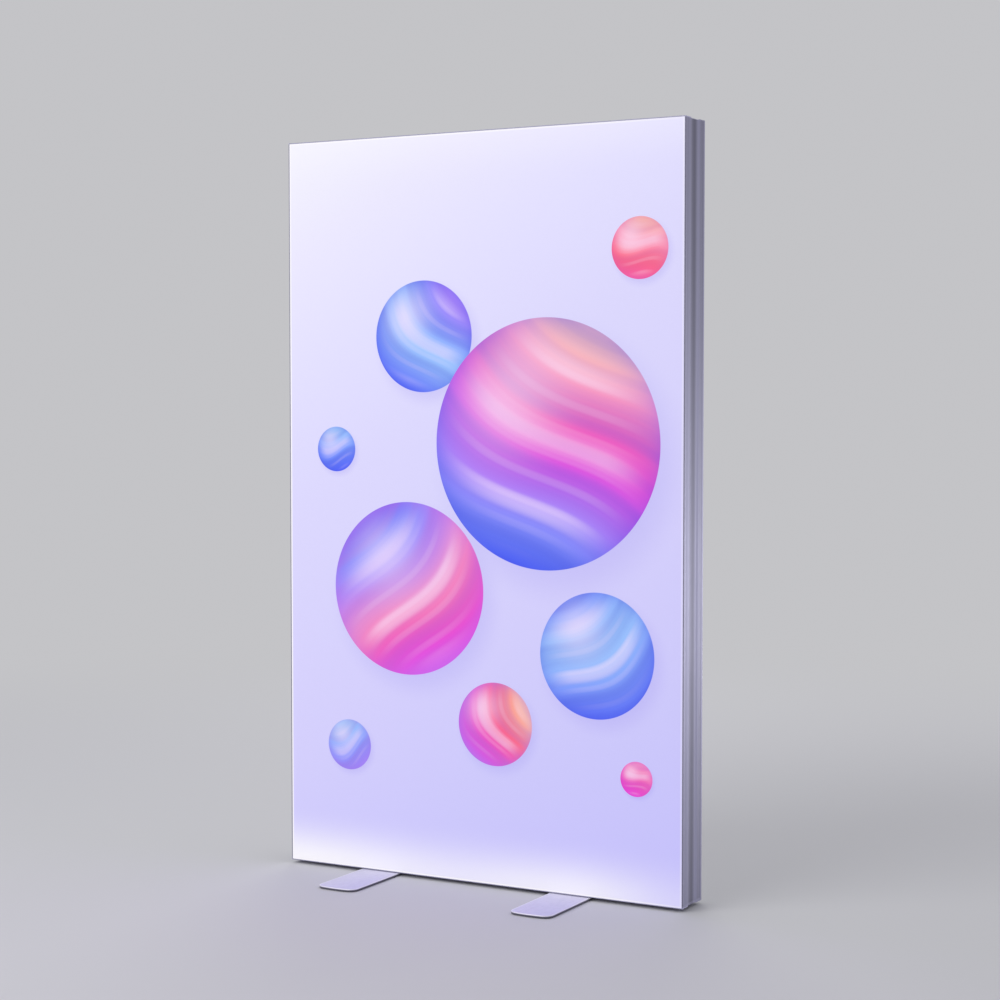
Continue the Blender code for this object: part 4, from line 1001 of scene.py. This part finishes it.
FLOOR_REACH = 60
FLOOR_COLOUR = (0.61, 0.61, 0.63)
FLOOR_FADE = (1.8, 5.5)
WORLD_COLOUR = (0.95, 0.95, 1.0)
WORLD_STRENGTH = 0.58

# Each lamp's name, place, aim, size and power
LAMPS = [
    ("key", (-2.3, -5.2, 3.9), (0, 0, 1.0), 6.0, 208),
    ("side", (2.9, 5.2, 0.34), (HALF_X, 0, 0.75), 0.5, 40),
    ("back", (-2.4, 5.0, 3.6), (0, 0, 1.0), 4.0, 65),
]


def stage():
    """A pale floor that fades into a plain background, and soft studio lamps."""
    bm = bmesh.new()
    bmesh.ops.create_grid(bm, x_segments=1, y_segments=1, size=FLOOR_REACH)
    floor = from_bmesh("floor", bm)
    g = Graph("floor")
    g.done(Roughness=0.75, Base_Color=FLOOR_COLOUR)
    glow = g.add("ShaderNodeEmission", PALE, 1.0)
    far = g.between(g.vector("LENGTH", g.place), *FLOOR_FADE)
    blend = g.add("ShaderNodeMixShader", far, g.shader.outputs[0], glow.outputs[0])
    g.links.new(blend.outputs[0], g.nodes["Material Output"].inputs["Surface"])
    floor.data.materials.append(g.material)

    world = bpy.data.worlds.new("studio")
    bpy.context.scene.world = world
    world.use_nodes = True
    nodes = world.node_tree.nodes
    links = world.node_tree.links
    nodes.clear()
    rays = nodes.new("ShaderNodeLightPath").outputs
    seen = rays["Is Camera Ray"]
    for kind in ("Is Glossy Ray", "Is Transmission Ray"):
        node = nodes.new("ShaderNodeMath")
        node.operation = "MAXIMUM"
        links.new(seen, node.inputs[0])
        links.new(rays[kind], node.inputs[1])
        seen = node.outputs[0]
    blend = nodes.new("ShaderNodeMixShader")
    links.new(seen, blend.inputs[0])
    backgrounds = ((1, WORLD_COLOUR, WORLD_STRENGTH), (2, PALE, 1.0))
    for socket, colour, strength in backgrounds:
        node = nodes.new("ShaderNodeBackground")
        node.inputs["Color"].default_value = (*colour, 1)
        node.inputs["Strength"].default_value = strength
        links.new(node.outputs[0], blend.inputs[socket])
    output = nodes.new("ShaderNodeOutputWorld")
    links.new(blend.outputs[0], output.inputs["Surface"])

    for settings in LAMPS:
        lamp(*settings)


def lamp(name, where, aim, size, power):
    """A round soft lamp that the camera doesn't see."""
    data = bpy.data.lights.new(name, "AREA")
    data.shape = "DISK"
    data.size = size
    data.energy = power
    obj = bpy.data.objects.new(name, data)
    obj.location = where
    obj.rotation_euler = (Vector(aim) - Vector(where)).to_track_quat("-Z", "Y").to_euler()
    obj.visible_camera = False
    bpy.context.scene.collection.objects.link(obj)


# The camera's place and aim in metres, and its focal length and sensor in millimetres
CAMERA_PLACE = (2.772, -4.900, 1.3058)
CAMERA_AIM = (0.0369, 0, 1.0333)
FOCAL_LENGTH = 75.8
SENSOR_WIDTH = 36


def camera():
    """The photograph's view."""
    data = bpy.data.cameras.new("camera")
    data.lens = FOCAL_LENGTH
    data.sensor_width = SENSOR_WIDTH
    obj = bpy.data.objects.new("camera", data)
    obj.location = CAMERA_PLACE
    look = Vector(CAMERA_AIM) - obj.location
    obj.rotation_euler = look.to_track_quat("-Z", "Y").to_euler()
    bpy.context.scene.collection.objects.link(obj)
    bpy.context.scene.camera = obj


camera()
stage()
dress()
bpy.context.scene.view_settings.view_transform = "Standard"
